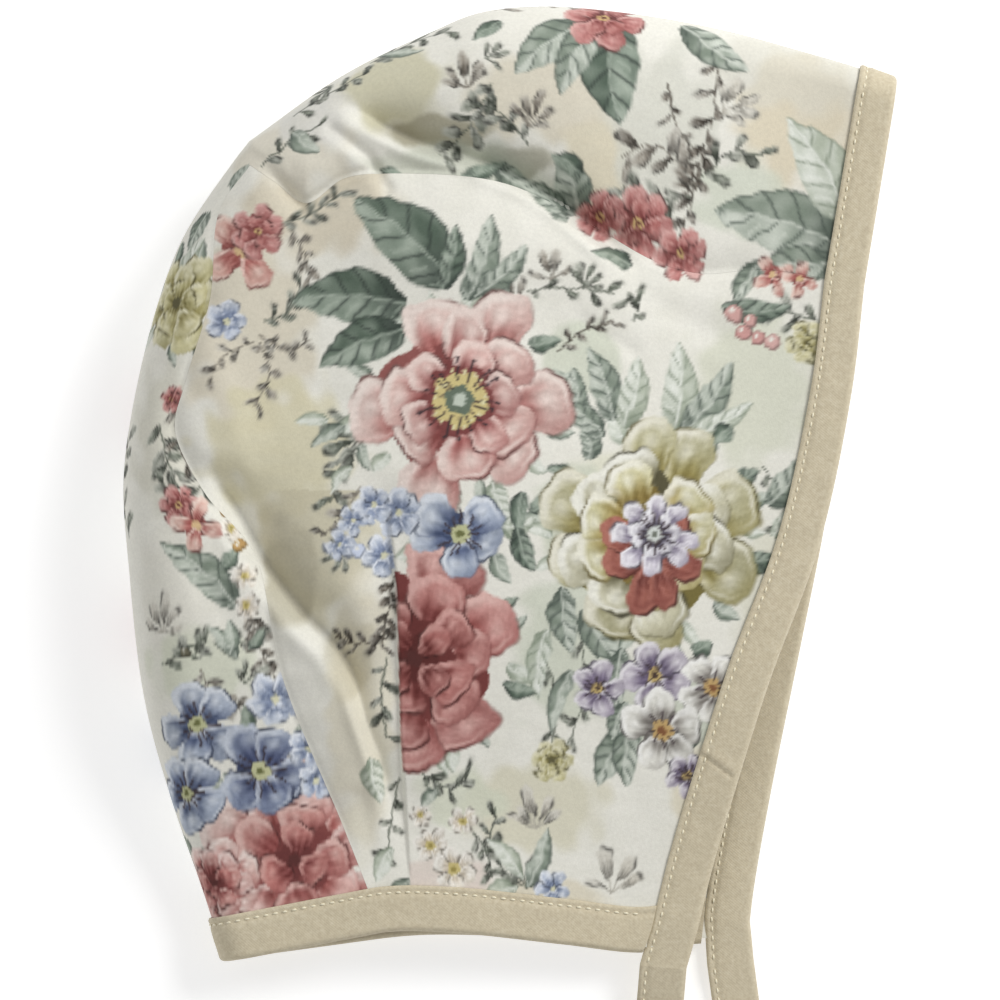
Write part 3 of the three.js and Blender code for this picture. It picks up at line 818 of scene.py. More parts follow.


# Matt cotton poplin with a fine even weave: its threads break up the light a little, its yarn varies in tone
# and its nap lightens the edges. The print, with painted shade along the tucks, is a colour on its surface.
COTTON_THREAD = 0.3
COTTON_YARN_SCALE = 1400.0
cotton, cotton_output = new_material("printed_cotton_poplin")
cotton_place = add_node(cotton, "ShaderNodeTexCoord")
# This colour holds the print together with painted shade along the tucks.
cotton_print_and_shade = add_node(cotton, "ShaderNodeAttribute", {"attribute_name": "print_and_shade"})
cotton_yarn = add_node(
    cotton,
    "ShaderNodeTexNoise",
    {"Scale": COTTON_YARN_SCALE, "Detail": 3.0, "Roughness": 0.65},
    {"Vector": (cotton_place, "Object")},
)
cotton_speck = add_node(
    cotton,
    "ShaderNodeMapRange",
    {"From Min": 0.3, "From Max": 0.7, "To Min": 0.93, "To Max": 1.03},
    {"Value": (cotton_yarn, "Fac")},
)
cotton_tone = add_node(
    cotton,
    "ShaderNodeHueSaturation",
    {"Saturation": 0.86},
    {"Color": (cotton_print_and_shade, "Color"), "Value": (cotton_speck, "Result")},
)
cotton_weave = add_node(
    cotton,
    "ShaderNodeTexVoronoi",
    {"Scale": 1000 / COTTON_THREAD},
    {"Vector": (cotton_place, "Object")},
)
cotton_bump = add_node(
    cotton,
    "ShaderNodeBump",
    {"Strength": 0.25, "Distance": 0.00006},
    {"Height": (cotton_weave, "Distance")},
)
cotton_shader = add_node(
    cotton,
    "ShaderNodeBsdfPrincipled",
    {"Roughness": 0.9, "Sheen Weight": 0.08, "Specular IOR Level": 0.2},
    {"Base Color": (cotton_tone, "Color"), "Normal": (cotton_bump, "Normal")},
)
cotton.node_tree.links.new(cotton_shader.outputs[0], cotton_output.inputs["Surface"])

upper_shape = side_panel_shape(upper_lines, 1)
lower_shape = side_panel_shape(lower_lines, -1)
# Every panel: its node, the steps of its inside, how many times its outside is cut finer, and its shape.
PANELS = [
    ("centre_panel", (55, 178), 2, centre_panel_shape),
    ("side_panel_right", (88, 109), 2, upper_shape),
    ("side_panel_left", (45, 52), 1, lower_shape),
]
cloth_pieces = {}
for node, steps, cuts, shape in PANELS:
    cloth_pieces[node] = cloth_piece(
        f"{node}_cloth", node, steps, cuts, shape, with_wall(shape, INSIDE_DEPTH), cotton
    )

# The print. A rose chintz in the common English way: open roses, a peony, small garden flowers, sage leaves
# and grey twigs, brushed loosely on a cream ground with beige and pale green washes. Functions draw all
# motifs. Places and sizes are millimetres on the cloth as it lies. A layer letter says which cut of cloth a
# motif is on: c the centre panel, a and b the side panel ahead of and behind its dart.
CREAM = "#E6E4D9"
BRUSHED = "#CFCDBB"
BRUSHED_SHARE = 0.16
BRUSHED_LENGTH = 12
# The brush: how far and in what waves it strays, and the widths of its stems, stalks and stamens.
BRUSH_STRAYS = [(0.32, 5.5), (0.13, 2.1)]
STEM_WIDTH = 0.36
STALK_WIDTH = 0.32
STAMEN_WIDTH = 0.4
ANTHER_RADIUS = 0.34
POLLEN_RADIUS = 0.4
BROAD_RADIUS = 9
STAMENED_RADIUS = 12
WASH_STRAY = 0.22
WASH_STRAY_LENGTH = 9
WASH_EDGE = 0.42
DART_CUT = 0.3
# Every wash: its layers, its middle, its reach to each side and upwards, its colour and its strength.
# The darker washes along the crown tuck and the back tuck are painted shade, not print.
WASHES_AND_SHADE = [
    ("ca", 57, 74, 13, 15, "#D6C9AB", 0.85),
    ("ca", 16, 64, 7, 11, "#DACFB0", 0.8),
    ("c", 6, 78, 16, 9, "#D5CBB2", 0.7),
    ("c", 30, 72, 12, 16, "#D3D3C6", 0.75),
    # Painted shade over the crown tuck: this beige print wash is darkened with shade, and the next two are
    # dark bands of shade only.
    ("c", -24, 80, 12, 10, "#C6C1A0", 0.85),
    ("c", -15, 70.6, 11, 3.4, "#A29C82", 0.85),
    ("c", 1, 64.8, 9, 3.0, "#A6A38F", 0.8),
    ("c", -46, 66, 13, 10, "#D5CDB9", 0.7),
    ("ab", -38, 56, 16, 10, "#CFC4AB", 0.85),
    ("ab", -52, 30, 14, 20, "#D5CBB3", 0.8),
    ("ab", -46, 8, 15, 14, "#D3CBA6", 0.85),
    # Painted shade along the back tuck: this beige print wash is darkened with shade, and the next two are
    # dark bands of shade only.
    ("b", -38, -10, 12, 16, "#C9C1A2", 0.85),
    ("ab", -44, -17, 6, 11, "#B3AC92", 0.75),
    ("b", -32, -34, 5, 9, "#B3AC92", 0.7),
    ("b", -30, -44, 7, 30, "#D8CFB4", 0.6),
    ("c", -66, -20, 10, 14, "#DBD8CB", 0.6),
    ("c", -62, -36, 12, 8, "#CFD3BC", 0.8),
    ("c", -68, 10, 10, 16, "#CFCCBB", 0.7),
    ("a", 48, 20, 13, 16, "#D3D5C0", 0.85),
    ("a", 14, 26, 8, 8, "#C4CBB5", 0.7),
    ("a", 22, -2, 14, 10, "#D6D5B9", 0.6),
    ("a", 12, -32, 12, 16, "#C7CDB9", 0.8),
    ("a", 4, -64, 16, 9, "#D4CFB4", 0.8),
    ("a", 6, -82, 13, 4, "#D2C6A8", 0.6),
    ("a", 37, -60, 6, 8, "#D9CFB2", 0.7),
    ("a", -10, -62, 9, 6, "#D2D6BF", 0.8),
    ("a", -14, -78, 10, 5, "#DBC9BE", 0.7),
    ("a", 52, -20, 9, 14, "#D5D3BC", 0.6),
    ("c", 46, 58, 10, 8, "#CFD5C2", 0.8),
    ("c", -12, 64, 16, 5, "#BFC3B2", 0.8),
    ("c", -40, 74, 9, 7, "#DAD8D0", 0.9),
    ("a", 32, -44, 12, 10, "#C2C8B6", 0.9),
    ("a", 12, -6, 8, 10, "#C8CDB8", 0.9),
    ("c", 58, 84, 20, 10, "#D6D3C5", 0.6),
]
# Kinds of flower: rings of petals from the outside in, each with its number, where it starts, its length
# and width as shares of the flower, its inner and outer colour and its rim. Then the eye's discs, and how
# many stamens it has and how far they reach.
STAMEN, POLLEN = "#3B2F33", "#DAD3A0"
FLOWERS = {
    "open rose": (
        [
            (6, 0.42, 0.60, 0.68, "#A3554E", "#D9B8AE", "#EBDDD3"),
            (6, 0.26, 0.50, 0.52, "#93433E", "#D6AEA4", "#EDDDD3"),
            (5, 0.16, 0.38, 0.42, "#883A37", "#CF9F96", "#EAD5CB"),
        ],
        [(0.31, "#7B3633"), (0.25, "#CDBB74"), (0.13, "#647260"), (0.06, "#BFC8B8")],
        (15, 0.31),
    ),
    "peony": (
        [
            (8, 0.42, 0.58, 0.55, "#857833", "#B6B187", "#E6E3D2"),
            (7, 0.32, 0.50, 0.49, "#645E3E", "#C4C0A2", "#EFEEE4"),
            (7, 0.22, 0.42, 0.42, "#8F782B", "#C7C190", "#EEECE0"),
        ],
        [],
        (0, 0.0),
    ),
    "brick heart": (
        [(6, 0.10, 0.90, 0.62, "#74342A", "#97493A", "#AE6450")],
        [],
        (0, 0.0),
    ),
    "stamen heart": (
        [
            (8, 0.30, 0.70, 0.52, "#7A7088", "#CFC9D4", "#EDEBEE"),
            (7, 0.10, 0.50, 0.40, "#5B5468", "#D6D3DA", "#EEEDEF"),
        ],
        [(0.30, "#54505F"), (0.22, "#C9CFC9"), (0.08, "#6E7468")],
        (16, 0.42),
    ),
    "cabbage rose": (
        [
            (6, 0.44, 0.56, 0.70, "#86332E", "#C4867E", "#DFB3A9"),
            (6, 0.34, 0.41, 0.54, "#7F2E29", "#BA766E", "#DAA89F"),
            (5, 0.22, 0.34, 0.44, "#7A2B26", "#B36B63", "#D8A097"),
            (4, 0.08, 0.29, 0.34, "#6B2520", "#A85A53", "#CE948B"),
        ],
        [(0.07, "#5A2723")],
        (0, 0.0),
    ),
    "blush rose": (
        [
            (6, 0.42, 0.60, 0.70, "#9C4740", "#D6B0A6", "#EADAD1"),
            (6, 0.30, 0.46, 0.54, "#8E3D37", "#D4A69D", "#E9D3CB"),
            (5, 0.18, 0.42, 0.50, "#8A3935", "#BE7B72", "#DBB4AA"),
            (3, 0.06, 0.32, 0.40, "#7A302D", "#B4655D", "#D39A90"),
        ],
        [(0.07, "#5B2724")],
        (0, 0.0),
    ),
    "yellow rose": (
        [
            (6, 0.36, 0.62, 0.74, "#968C48", "#C9C392", "#E2DDBD"),
            (5, 0.20, 0.50, 0.58, "#9A904F", "#C8C18F", "#E2DEC0"),
            (4, 0.06, 0.36, 0.42, "#857C42", "#BDB579", "#DAD5AE"),
        ],
        [(0.12, "#5F5A38")],
        (0, 0.0),
    ),
    "blue pansy": (
        [(5, 0.10, 0.90, 0.92, "#48577B", "#A6B1C3", "#DCE1E7")],
        [(0.20, "#B9BB8A"), (0.08, "#6C6F3D")],
        (12, 0.42),
    ),
    "deep blue pansy": (
        [(5, 0.10, 0.90, 0.92, "#3F4A70", "#717E9C", "#CBD2DC")],
        [(0.20, "#C2C392"), (0.08, "#6C6F3D")],
        (13, 0.42),
    ),
    "forget-me-not": (
        [(5, 0.08, 0.92, 0.88, "#71809F", "#B6C0D1", "#E2E6EC")],
        [(0.15, "#CFCDAA")],
        (0, 0.0),
    ),
    "primrose": (
        [(5, 0.12, 0.88, 0.88, "#857F78", "#D8D6CC", "#F2F1EC")],
        [(0.25, "#BD9A56"), (0.10, "#7F4E22")],
        (8, 0.38),
    ),
    "lilac primrose": (
        [(5, 0.12, 0.88, 0.88, "#6A5D78", "#B4ABB8", "#E6E3E5")],
        [(0.22, "#BFA45C"), (0.10, "#4C3A30")],
        (8, 0.38),
    ),
    "daisy": (
        [(6, 0.16, 0.84, 0.72, "#CDBFA8", "#E6DFD2", "#F1EDE4")],
        [(0.28, "#C6B56C"), (0.12, "#9A8A3C")],
        (0, 0.0),
    ),
    "red wild rose": (
        [
            (6, 0.26, 0.76, 0.74, "#8E413D", "#B9716B", "#D5A59D"),
            (4, 0.10, 0.50, 0.54, "#7E3633", "#A95B55", "#CC9189"),
        ],
        [(0.14, "#C7A562"), (0.06, "#5B2724")],
        (0, 0.0),
    ),
    "tulip": (
        [(4, 0.05, 0.95, 0.66, "#A04B43", "#D2A293", "#E8D0C2")],
        [(0.18, "#D0AE78")],
        (0, 0.0),
    ),
}
# Every flower: its layers, kind, place, size, turn and how much it is narrowed across.
BLOOMS = [
    ("ab", "open rose", -10.4, 17.3, 21.8, 12, 1.0),
    ("a", "peony", 26.8, -9.8, 23.5, 30, 0.96),
    ("a", "brick heart", 27.6, -14.0, 10.5, 20, 1.2),
    ("a", "stamen heart", 28.4, -9.4, 8.2, 0, 1.3),
    ("a", "cabbage rose", -19.5, -34.0, 23.0, 15, 0.9),
    ("c", "blush rose", -43.5, -74.5, 20.5, 60, 0.92),
    ("c", "blush rose", -59.5, -79.0, 9.5, 20, 1.0),
    ("c", "yellow rose", -67.5, 37.0, 10.5, 40, 1.0),
    ("ab", "tulip", -53.5, 47.0, 9.0, 70, 0.9),
    ("ab", "red wild rose", -50.5, 50.5, 5.5, 20, 0.8),
    ("c", "red wild rose", 25.0, 52.5, 7.5, 10, 0.75),
    ("ca", "red wild rose", 17.5, 54.0, 5.0, 50, 0.8),
    ("ca", "red wild rose", 33.5, 46.5, 5.5, 80, 0.9),
    ("c", "red wild rose", 18.5, 95.0, 8.5, 0, 0.8),
    ("ca", "tulip", 52.0, 42.5, 4.2, 30, 0.8),
    ("ca", "tulip", 57.5, 41.5, 3.6, 120, 0.8),
    ("a", "yellow rose", 59.0, 29.0, 4.5, 0, 1.0),
    ("c", "blue pansy", -62.5, -47.0, 8.6, 25, 1.0),
    ("c", "blue pansy", -65.0, -61.0, 8.2, 60, 1.0),
    ("c", "deep blue pansy", -50.0, -56.5, 10.0, 5, 0.95),
    ("c", "forget-me-not", -47.0, -42.0, 5.6, 40, 0.8),
    ("c", "forget-me-not", -40.5, -52.0, 4.2, 80, 0.9),
    ("c", "forget-me-not", -39.0, -58.5, 3.8, 20, 0.9),
    ("a", "blue pansy", -10.2, -9.3, 9.4, 50, 0.85),
    ("ab", "forget-me-not", -22.5, -5.0, 5.0, 10, 0.9),
    ("ab", "forget-me-not", -27.5, -3.5, 4.0, 50, 0.9),
    ("ab", "forget-me-not", -34.0, -11.5, 3.2, 30, 0.9),
    ("ab", "forget-me-not", -31.5, -6.5, 3.0, 0, 0.9),
    ("b", "forget-me-not", -25.5, -13.5, 4.4, 70, 0.9),
    ("c", "red wild rose", -66.0, -3.5, 4.2, 20, 0.8),
    ("c", "tulip", -62.5, -7.5, 5.4, 220, 0.7),
    ("ab", "forget-me-not", -56.5, 33.0, 4.2, 30, 0.9),
    ("c", "red wild rose", -67.5, 17.5, 2.6, 30, 0.8),
    ("a", "lilac primrose", 28.5, -37.5, 7.2, 20, 0.95),
    ("a", "primrose", 40.0, -40.0, 7.2, 50, 0.95),
    ("a", "primrose", 30.0, -48.5, 8.2, 10, 1.0),
    ("a", "lilac primrose", 17.0, -40.0, 5.6, 80, 0.75),
    ("a", "lilac primrose", 35.0, -57.5, 4.4, 30, 0.9),
    ("a", "yellow rose", 8.0, -54.5, 4.6, 0, 0.9),
    ("a", "daisy", -16.2, -71.3, 3.4, 0, 1.0),
    ("a", "daisy", -11.6, -76.2, 4.6, 30, 0.9),
    ("a", "daisy", -9.8, -66.5, 2.8, 10, 1.0),
    ("a", "daisy", -18.2, -65.5, 2.2, 10, 1.0),
    ("a", "forget-me-not", 8.0, -80.0, 3.4, 10, 1.0),
    ("c", "daisy", -55.5, -8.0, 2.4, 0, 0.8),
    ("c", "daisy", -53.0, -17.5, 2.6, 30, 0.8),
    ("c", "daisy", -52.5, -23.5, 2.6, 50, 0.8),
    ("c", "blush rose", -91, -30, 9, 10, 1.0),
    ("c", "open rose", -97, 20, 12, 40, 1.0),
    ("c", "yellow rose", -68, 83, 10, 0, 1.0),
    ("c", "blue pansy", -85, -57, 8, 30, 1.0),
    ("c", "peony", -26, 112, 13, 0, 1.0),
    ("c", "blue pansy", 46, 108, 8, 0, 1.0),
    ("c", "primrose", -77, 60, 7, 0, 1.0),
    ("c", "blush rose", 74, 103, 10, 0, 1.0),
]
DEEP = ("#2F3833", "#536455", "#A6B2A2")
SAGE = ("#424D45", "#7F8C7C", "#CDD3C6")
PALE = ("#77836F", "#AFB8A4", "#E4E7DD")
# Every leaf: its layers, its foot, its tip, its width and its kind.
LEAVES = [
    ("ab", -12, 40, -31.5, 57, 13, DEEP),
    ("ab", -21, 36, -43.5, 37, 11, DEEP),
    ("ab", -21, 31, -38, 24, 9, DEEP),
    ("ab", -9, 37, -4, 54, 6, SAGE),
    ("ab", -7, 38, 3, 48, 5, SAGE),
    ("ab", -14, 39, -11, 52, 5, DEEP),
    ("c", 16, 93, 0.5, 82, 9, SAGE),
    ("c", 20, 94, 21.5, 72, 12, DEEP),
    ("c", 17, 92, 9.5, 78, 7, SAGE),
    ("c", 34, 94, 47, 83, 7, SAGE),
    ("c", -2, 94, -8, 89, 4, DEEP),
    ("ca", 66, 48, 40, 55, 13, SAGE),
    ("ca", 67, 53, 55, 73.5, 11, PALE),
    ("ca", 66, 44, 47, 43, 7, SAGE),
    ("ca", 13, 54, 9.5, 66, 7.5, SAGE),
    ("ca", 11, 53, 2, 61, 4.5, SAGE),
    ("ca", 24, 44, 16, 47, 3.4, DEEP),
    ("ca", 50, 45, 44, 36, 4.5, SAGE),
    ("a", 42, 36, 56, 36, 5, DEEP),
    ("a", 20, 13, 15, 28, 6, SAGE),
    ("a", 22, 12, 25, 26, 6, PALE),
    ("a", 32, 11, 33, 29, 7, PALE),
    ("a", 34, 11, 44, 25, 6.5, SAGE),
    ("a", 34, 10, 48, 17, 5, PALE),
    ("a", 12, 12, 12, 24, 5, SAGE),
    ("a", 18, 10, 10, 17, 5, SAGE),
    ("a", 44, 12, 40, 9, 4, DEEP),
    ("a", 2, -1, 1.5, -9, 4, DEEP),
    ("a", 1, -8, 4.5, -17, 4.5, DEEP),
    ("a", 4, -5, 7, -1, 3.5, DEEP),
    ("a", 51, -4, 58, 6, 6, SAGE),
    ("a", 52, -10, 57, -3, 4.5, PALE),
    ("a", 10, -20, 12, -33, 6, SAGE),
    ("a", 14, -24, 22, -35, 6, SAGE),
    ("a", 7, -28, 5, -42, 4.5, PALE),
    ("a", 22, -32, 21, -46, 5, SAGE),
    ("a", 12, -36, 8, -49, 3.5, SAGE),
    ("a", 24, -48, 17, -60, 6.5, SAGE),
    ("a", 24, -47, 23, -60, 5.5, SAGE),
    ("a", 36, -52, 35, -47, 3, DEEP),
    ("c", -54, -24, -70, -11, 7, SAGE),
    ("c", -58, -16, -54, -12, 3, DEEP),
    ("c", -54.5, -34, -60, -27.5, 3, SAGE),
    ("c", -56, -33, -56, -26, 3, SAGE),
    ("c", -52, -32, -49, -28, 2.4, DEEP),
    ("c", -58, 5, -55, 10, 4, DEEP),
    ("c", -58, 0, -52, -1, 3.5, DEEP),
    ("c", -62, 56, -66, 48, 5, SAGE),
    ("c", -57, 60, -53.5, 65, 5, SAGE),
    ("c", -70, 42, -62, 50, 4.5, PALE),
    ("ab", -46, 62, -38, 67, 5, SAGE),
    ("c", -44, 71, -38, 66, 4, SAGE),
    ("c", -29, 91, -18, 88, 3, SAGE),
    ("c", -4, 64, 9, 57, 5, SAGE),
    ("c", -10, 61.5, -1, 65, 3.5, DEEP),
    ("c", -26, 63, -19, 61, 2.4, DEEP),
    ("a", 31, -30, 34, -35, 4, DEEP),
    ("a", 34, -46, 37, -51, 4, SAGE),
    ("a", 23, -43, 20, -50, 5, SAGE),
    ("a", 36, -33, 40, -31, 4, DEEP),
    ("c", 14, 62, 8, 66, 4, DEEP),
    ("ab", -33, 12, -40, 8, 3, SAGE),
    ("ab", -36, 13, -43, 13, 3, PALE),
    ("ab", -32, 4, -36, -1, 2.4, PALE),
    ("ab", -30, 9, -28, 3, 2.4, SAGE),
    ("b", -28, -54, -26, -63, 4.5, PALE),
    ("b", -24, -72, -27, -79, 3.5, PALE),
    ("b", -20.5, -78, -24, -83, 3, SAGE),
    ("a", -15, -60, -18, -64, 2.4, SAGE),
    ("a", 2, -78, -5, -70, 3.5, PALE),
    ("a", 3, -80, 7, -68, 4, SAGE),
    ("a", 1, -80, -6, -82, 4, PALE),
    ("c", -58, -64, -54, -68, 3, DEEP),
]
TAUPE, OLIVE, BROWN, FAINT = "#8E8577", "#6A7263", "#5B5145", "#C6C0B1"
# Every twig: its layers, its colour, its leaflets' size and number, its seed and the places it goes through.
TWIGS = [
    ("c", OLIVE, 3.0, 10, 2, [(-4, 80), (-8, 72), (-14, 66)]),
    ("c", OLIVE, 2.6, 7, 4, [(3, 68), (-2, 74), (-8, 76)]),
    ("c", BROWN, 2.6, 14, 5, [(41, 86), (40, 74), (37.5, 65), (36, 58), (33, 49)]),
    ("c", BROWN, 1.8, 6, 6, [(31, 80), (33, 71), (38, 66)]),
    ("c", OLIVE, 3.2, 6, 8, [(38, 62), (44, 67), (50, 66)]),
    ("c", TAUPE, 3.8, 6, 9, [(36, 62), (28, 68), (22, 66)]),
    ("c", OLIVE, 3.2, 6, 10, [(36, 58), (28, 57), (22, 60)]),
    ("ca", OLIVE, 2.0, 6, 11, [(3, 39), (12, 39.5), (20, 38.5)]),
    ("a", BROWN, 1.6, 7, 14, [(9, 27), (14, 31), (20, 33)]),
    ("a", OLIVE, 2.2, 4, 15, [(24, 33), (25, 36), (23, 38)]),
    ("ca", OLIVE, 2.8, 6, 16, [(62, 33), (54, 35), (46, 34)]),
    ("ab", TAUPE, 1.8, 8, 17, [(-50, 30), (-44, 27), (-40, 29)]),
    ("ab", TAUPE, 1.8, 8, 18, [(-50, 29), (-48, 22), (-51, 16)]),
    ("ab", TAUPE, 1.6, 6, 19, [(-51, 29), (-57, 26), (-60, 21)]),
    ("ab", OLIVE, 1.8, 8, 20, [(-49, 33), (-44, 35), (-42, 40)]),
    ("ab", OLIVE, 2.0, 9, 21, [(-46, 52), (-40, 54), (-34, 58)]),
    ("ab", TAUPE, 1.8, 7, 22, [(-44, 51), (-41, 46), (-40, 41)]),
    ("ab", OLIVE, 2.8, 7, 24, [(-28, 10), (-33, 6), (-36, -3)]),
    ("ab", TAUPE, 2.4, 5, 25, [(-30, 0), (-34, -6), (-38, -10)]),
    ("b", BROWN, 2.2, 10, 26, [(-23.5, -18), (-25, -26), (-26, -32)]),
    ("b", BROWN, 1.8, 7, 27, [(-25, -30), (-30, -31), (-35, -30)]),
    ("b", OLIVE, 2.4, 6, 28, [(-25, -34), (-26, -42), (-25, -50)]),
    ("b", OLIVE, 2.0, 6, 29, [(-22.5, -58), (-24, -66), (-25, -76)]),
    ("c", OLIVE, 2.6, 8, 30, [(-70, -35), (-62, -31), (-54, -31), (-49, -30)]),
    ("c", BROWN, 2.4, 10, 31, [(-52, -24), (-50, -32), (-47, -38)]),
    ("c", TAUPE, 2.2, 8, 33, [(-62, -36), (-58, -42), (-54, -44)]),
    ("c", OLIVE, 2.8, 8, 34, [(-70, 12), (-68, 4), (-66, 0)]),
    ("c", OLIVE, 2.6, 7, 35, [(-60, 3), (-64, -2), (-70, 1)]),
    ("c", BROWN, 2.2, 6, 36, [(-67, 16), (-66, 8), (-62, 2)]),
    ("c", OLIVE, 2.6, 8, 37, [(-45, 76), (-38, 80), (-30, 84)]),
    ("c", OLIVE, 2.2, 6, 38, [(-50, 64), (-43, 70), (-38, 72)]),
    ("a", OLIVE, 2.2, 8, 39, [(-18, -57), (-12, -60), (-9, -58)]),
    ("a", OLIVE, 2.4, 8, 40, [(1, -80), (-4, -72), (-3, -64)]),
    ("a", OLIVE, 2.0, 7, 42, [(-8, -69), (-5, -73), (-4, -78)]),
    ("a", OLIVE, 2.0, 6, 43, [(7, -34), (9, -44), (8, -51)]),
    ("a", OLIVE, 2.0, 6, 44, [(14, -30), (14, -42), (11, -52)]),
    ("a", OLIVE, 2.0, 5, 47, [(50, 4), (54, -3), (53, -9)]),
    ("c", OLIVE, 3.0, 7, 48, [(-30, 88), (-22, 92), (-14, 93)]),
    ("c", OLIVE, 3.0, 9, 49, [(-80, -10), (-84, 2), (-80, 12)]),
    ("c", TAUPE, 3.0, 9, 50, [(-4, 100), (4, 104), (12, 102)]),
]
# Every sprig: its layers, its colour, its foot, its way in degrees, its length and how many leaflets it has.
SPRIGS = [
    ("c", TAUPE, -9, 79, 100, 7, 5),
    ("c", OLIVE, -5, 85, 30, 5, 4),
    ("c", TAUPE, 3, 72, 65, 7, 5),
    ("c", FAINT, 42, 75, 25, 8, 5),
    ("c", BROWN, 37, 60, 150, 5.5, 5),
    ("a", TAUPE, 8, 41, 95, 6.5, 4),
    ("a", OLIVE, 14, 40, 60, 5, 5),
    ("a", TAUPE, 1, 37, 130, 5.5, 4),
    ("ab", OLIVE, -30, 10, 170, 9, 5),
    ("b", OLIVE, -33, -13, 200, 5, 5),
    ("a", FAINT, 20, -81, 85, 9, 4),
    ("a", FAINT, 5, -68, 100, 8, 5),
    ("a", OLIVE, 3, -80, 95, 8, 6),
    ("c", FAINT, -70, -29, 80, 8, 5),
    ("c", OLIVE, -63, -34, 100, 6, 4),
    ("c", OLIVE, -53, -39, 60, 6, 4),
    ("c", OLIVE, -38, 82, 200, 5, 4),
]
# Berries and buds: their layers, place, size and colour.
BERRIES = [
    ("a", 44.4, 34.5, 1.9, "#CF9C94"),
    ("a", 46.2, 31.0, 1.6, "#C98F88"),
    ("a", 49.2, 29.8, 1.5, "#C98F88"),
    ("a", 52.0, 29.0, 1.6, "#D0A29A"),
    ("a", 47.8, 33.2, 1.4, "#CF9C94"),
    ("a", 36.5, 43.0, 1.8, "#D8A79F"),
    ("c", -64.5, -33.0, 1.0, "#6E6A55"),
    ("ab", -30.5, -12.5, 1.4, "#C3CDE2"),
    ("c", -57.0, -4.5, 1.3, "#B98F45"),
    ("c", -54.0, -11.5, 1.3, "#B98F45"),
]
# The reverse side shows the print faintly. The panel underneath is cut elsewhere from the same cloth.
REVERSE_SHARE = 0.4
UNDER_SHIFT = (12.0, -6.0)


class Sheet:
    """Cloth being printed: the places on it, slightly unsteady as a brush is, and their colours so far."""

    def __init__(self, x, y):
        self.x, self.y = x, y
        for k, (stray, length) in enumerate(BRUSH_STRAYS):
            self.x = self.x + stray * ripples(x, y, length, 61 + k)
            self.y = self.y + stray * ripples(x, y, length, 63 + k)
        self.tone = np.tile(tone_of(CREAM), (len(x), 1))

    def near(self, x, y, reach):
        """Which places lie within reach of a place, and how far to each side of it."""
        dx, dy = self.x - x, self.y - y
        which = np.flatnonzero((np.abs(dx) < reach) & (np.abs(dy) < reach))
        return which, dx[which], dy[which]

    def lay(self, which, cover, tone):
        """Lays a colour over some places, as thick as its cover."""
        cover = np.clip(cover, 0, 1)[:, None]
        self.tone[which] = self.tone[which] * (1 - cover) + tone * cover


def petal(sheet, x, y, angle, length, width, inner, outer, rim, seed):
    """One brushed petal: dark at its foot, lit on one side, with a part of its edge lined."""
    middle_x, middle_y = x + np.cos(angle) * length / 2, y + np.sin(angle) * length / 2
    which, dx, dy = sheet.near(middle_x, middle_y, 0.72 * max(length, width) + 0.6)
    if not len(which):
        return
    a = (dx * np.cos(angle) + dy * np.sin(angle)) / length + 0.5
    b = (dy * np.cos(angle) - dx * np.sin(angle)) / (width / 2)
    u, w = (a - 0.52) / 0.5, b / (0.6 + 0.5 * a)
    turn = np.arctan2(w, u)
    r = np.hypot(u, w) * (1 + 0.05 * np.sin(3 * turn + seed) + 0.03 * np.sin(7 * turn + 2 * seed))
    size = min(length, width) / 2
    cover = smooth_rise((1 - r) * size / 0.5 + 0.5)
    facing = (dy - dx) / (1.4 * size)
    sheet.lay(which, 0.4 * smooth_rise((1.1 - r) * size / 0.5) * smooth_rise(0.25 - facing), inner * 0.7)
    grade = smooth_rise(a * 1.75 - 0.3 + 0.12 * np.sin(w * 5 + seed))[:, None]
    tone = inner * (1 - grade) + outer * grade
    lit = smooth_rise((r - 0.45) / 0.35) * smooth_rise(facing + 0.45)
    gleam = 0.75 * np.exp(-((u - 0.25) ** 2) / 0.12 - (w - 0.3 * np.sin(seed)) ** 2 / 0.1)
    lit = np.maximum(lit, gleam)[:, None]
    tone = tone * (1 - 0.8 * lit) + rim * 0.8 * lit
    shade = (0.38 * smooth_rise((r - 0.35) / 0.5) * smooth_rise(-facing - 0.1))[:, None]
    tone = tone * (1 - shade) + inner * shade
    streak = 0.06 * np.sin(w * 13 + 3 * seed) * smooth_rise(1.1 - a)
    streak = streak + 0.03 * ripples(dx, dy, 1.5, 40 + int(seed))
    sheet.lay(which, cover, np.clip(tone + streak[:, None], 0, 1))
    glow = np.exp(-(((0.84 - r) * size / 0.4) ** 2)) * (0.5 + 0.5 * np.sin(2 * turn + seed))
    sheet.lay(which, 0.75 * glow * smooth_rise(u + 0.7), rim)
    line = np.exp(-(((r - 0.98) * size / 0.24) ** 2)) * smooth_rise(0.9 * np.sin(turn * 1.5 + seed) - 0.1)
    sheet.lay(which, 0.85 * line, inner * 0.5)


def disc(sheet, x, y, radius, tone, ruffle=0.0, seed=0.0):
    """A round dab of colour, ruffled at its edge if asked."""
    which, dx, dy = sheet.near(x, y, radius * 1.3 + 1)
    turn = np.arctan2(dy, dx)
    reach = radius * (1 + ruffle * np.sin(5 * turn + seed) + ruffle * 0.6 * np.sin(9 * turn + 2 * seed))
    sheet.lay(which, smooth_rise((reach - np.hypot(dx, dy)) / 0.4 + 0.5), tone)


def stroke(sheet, points, width, tone, strength=1.0):
    """A brush line through a few places."""
    points = np.asarray(points, float)
    middle, reach = points.mean(axis=0), np.ptp(points, axis=0).max() / 2 + width + 0.6
    which, dx, dy = sheet.near(*middle, reach)
    away = distance_to(points, dx + middle[0], dy + middle[1])
    sheet.lay(which, strength * smooth_rise((width / 2 - away) / 0.35 + 0.5), tone)


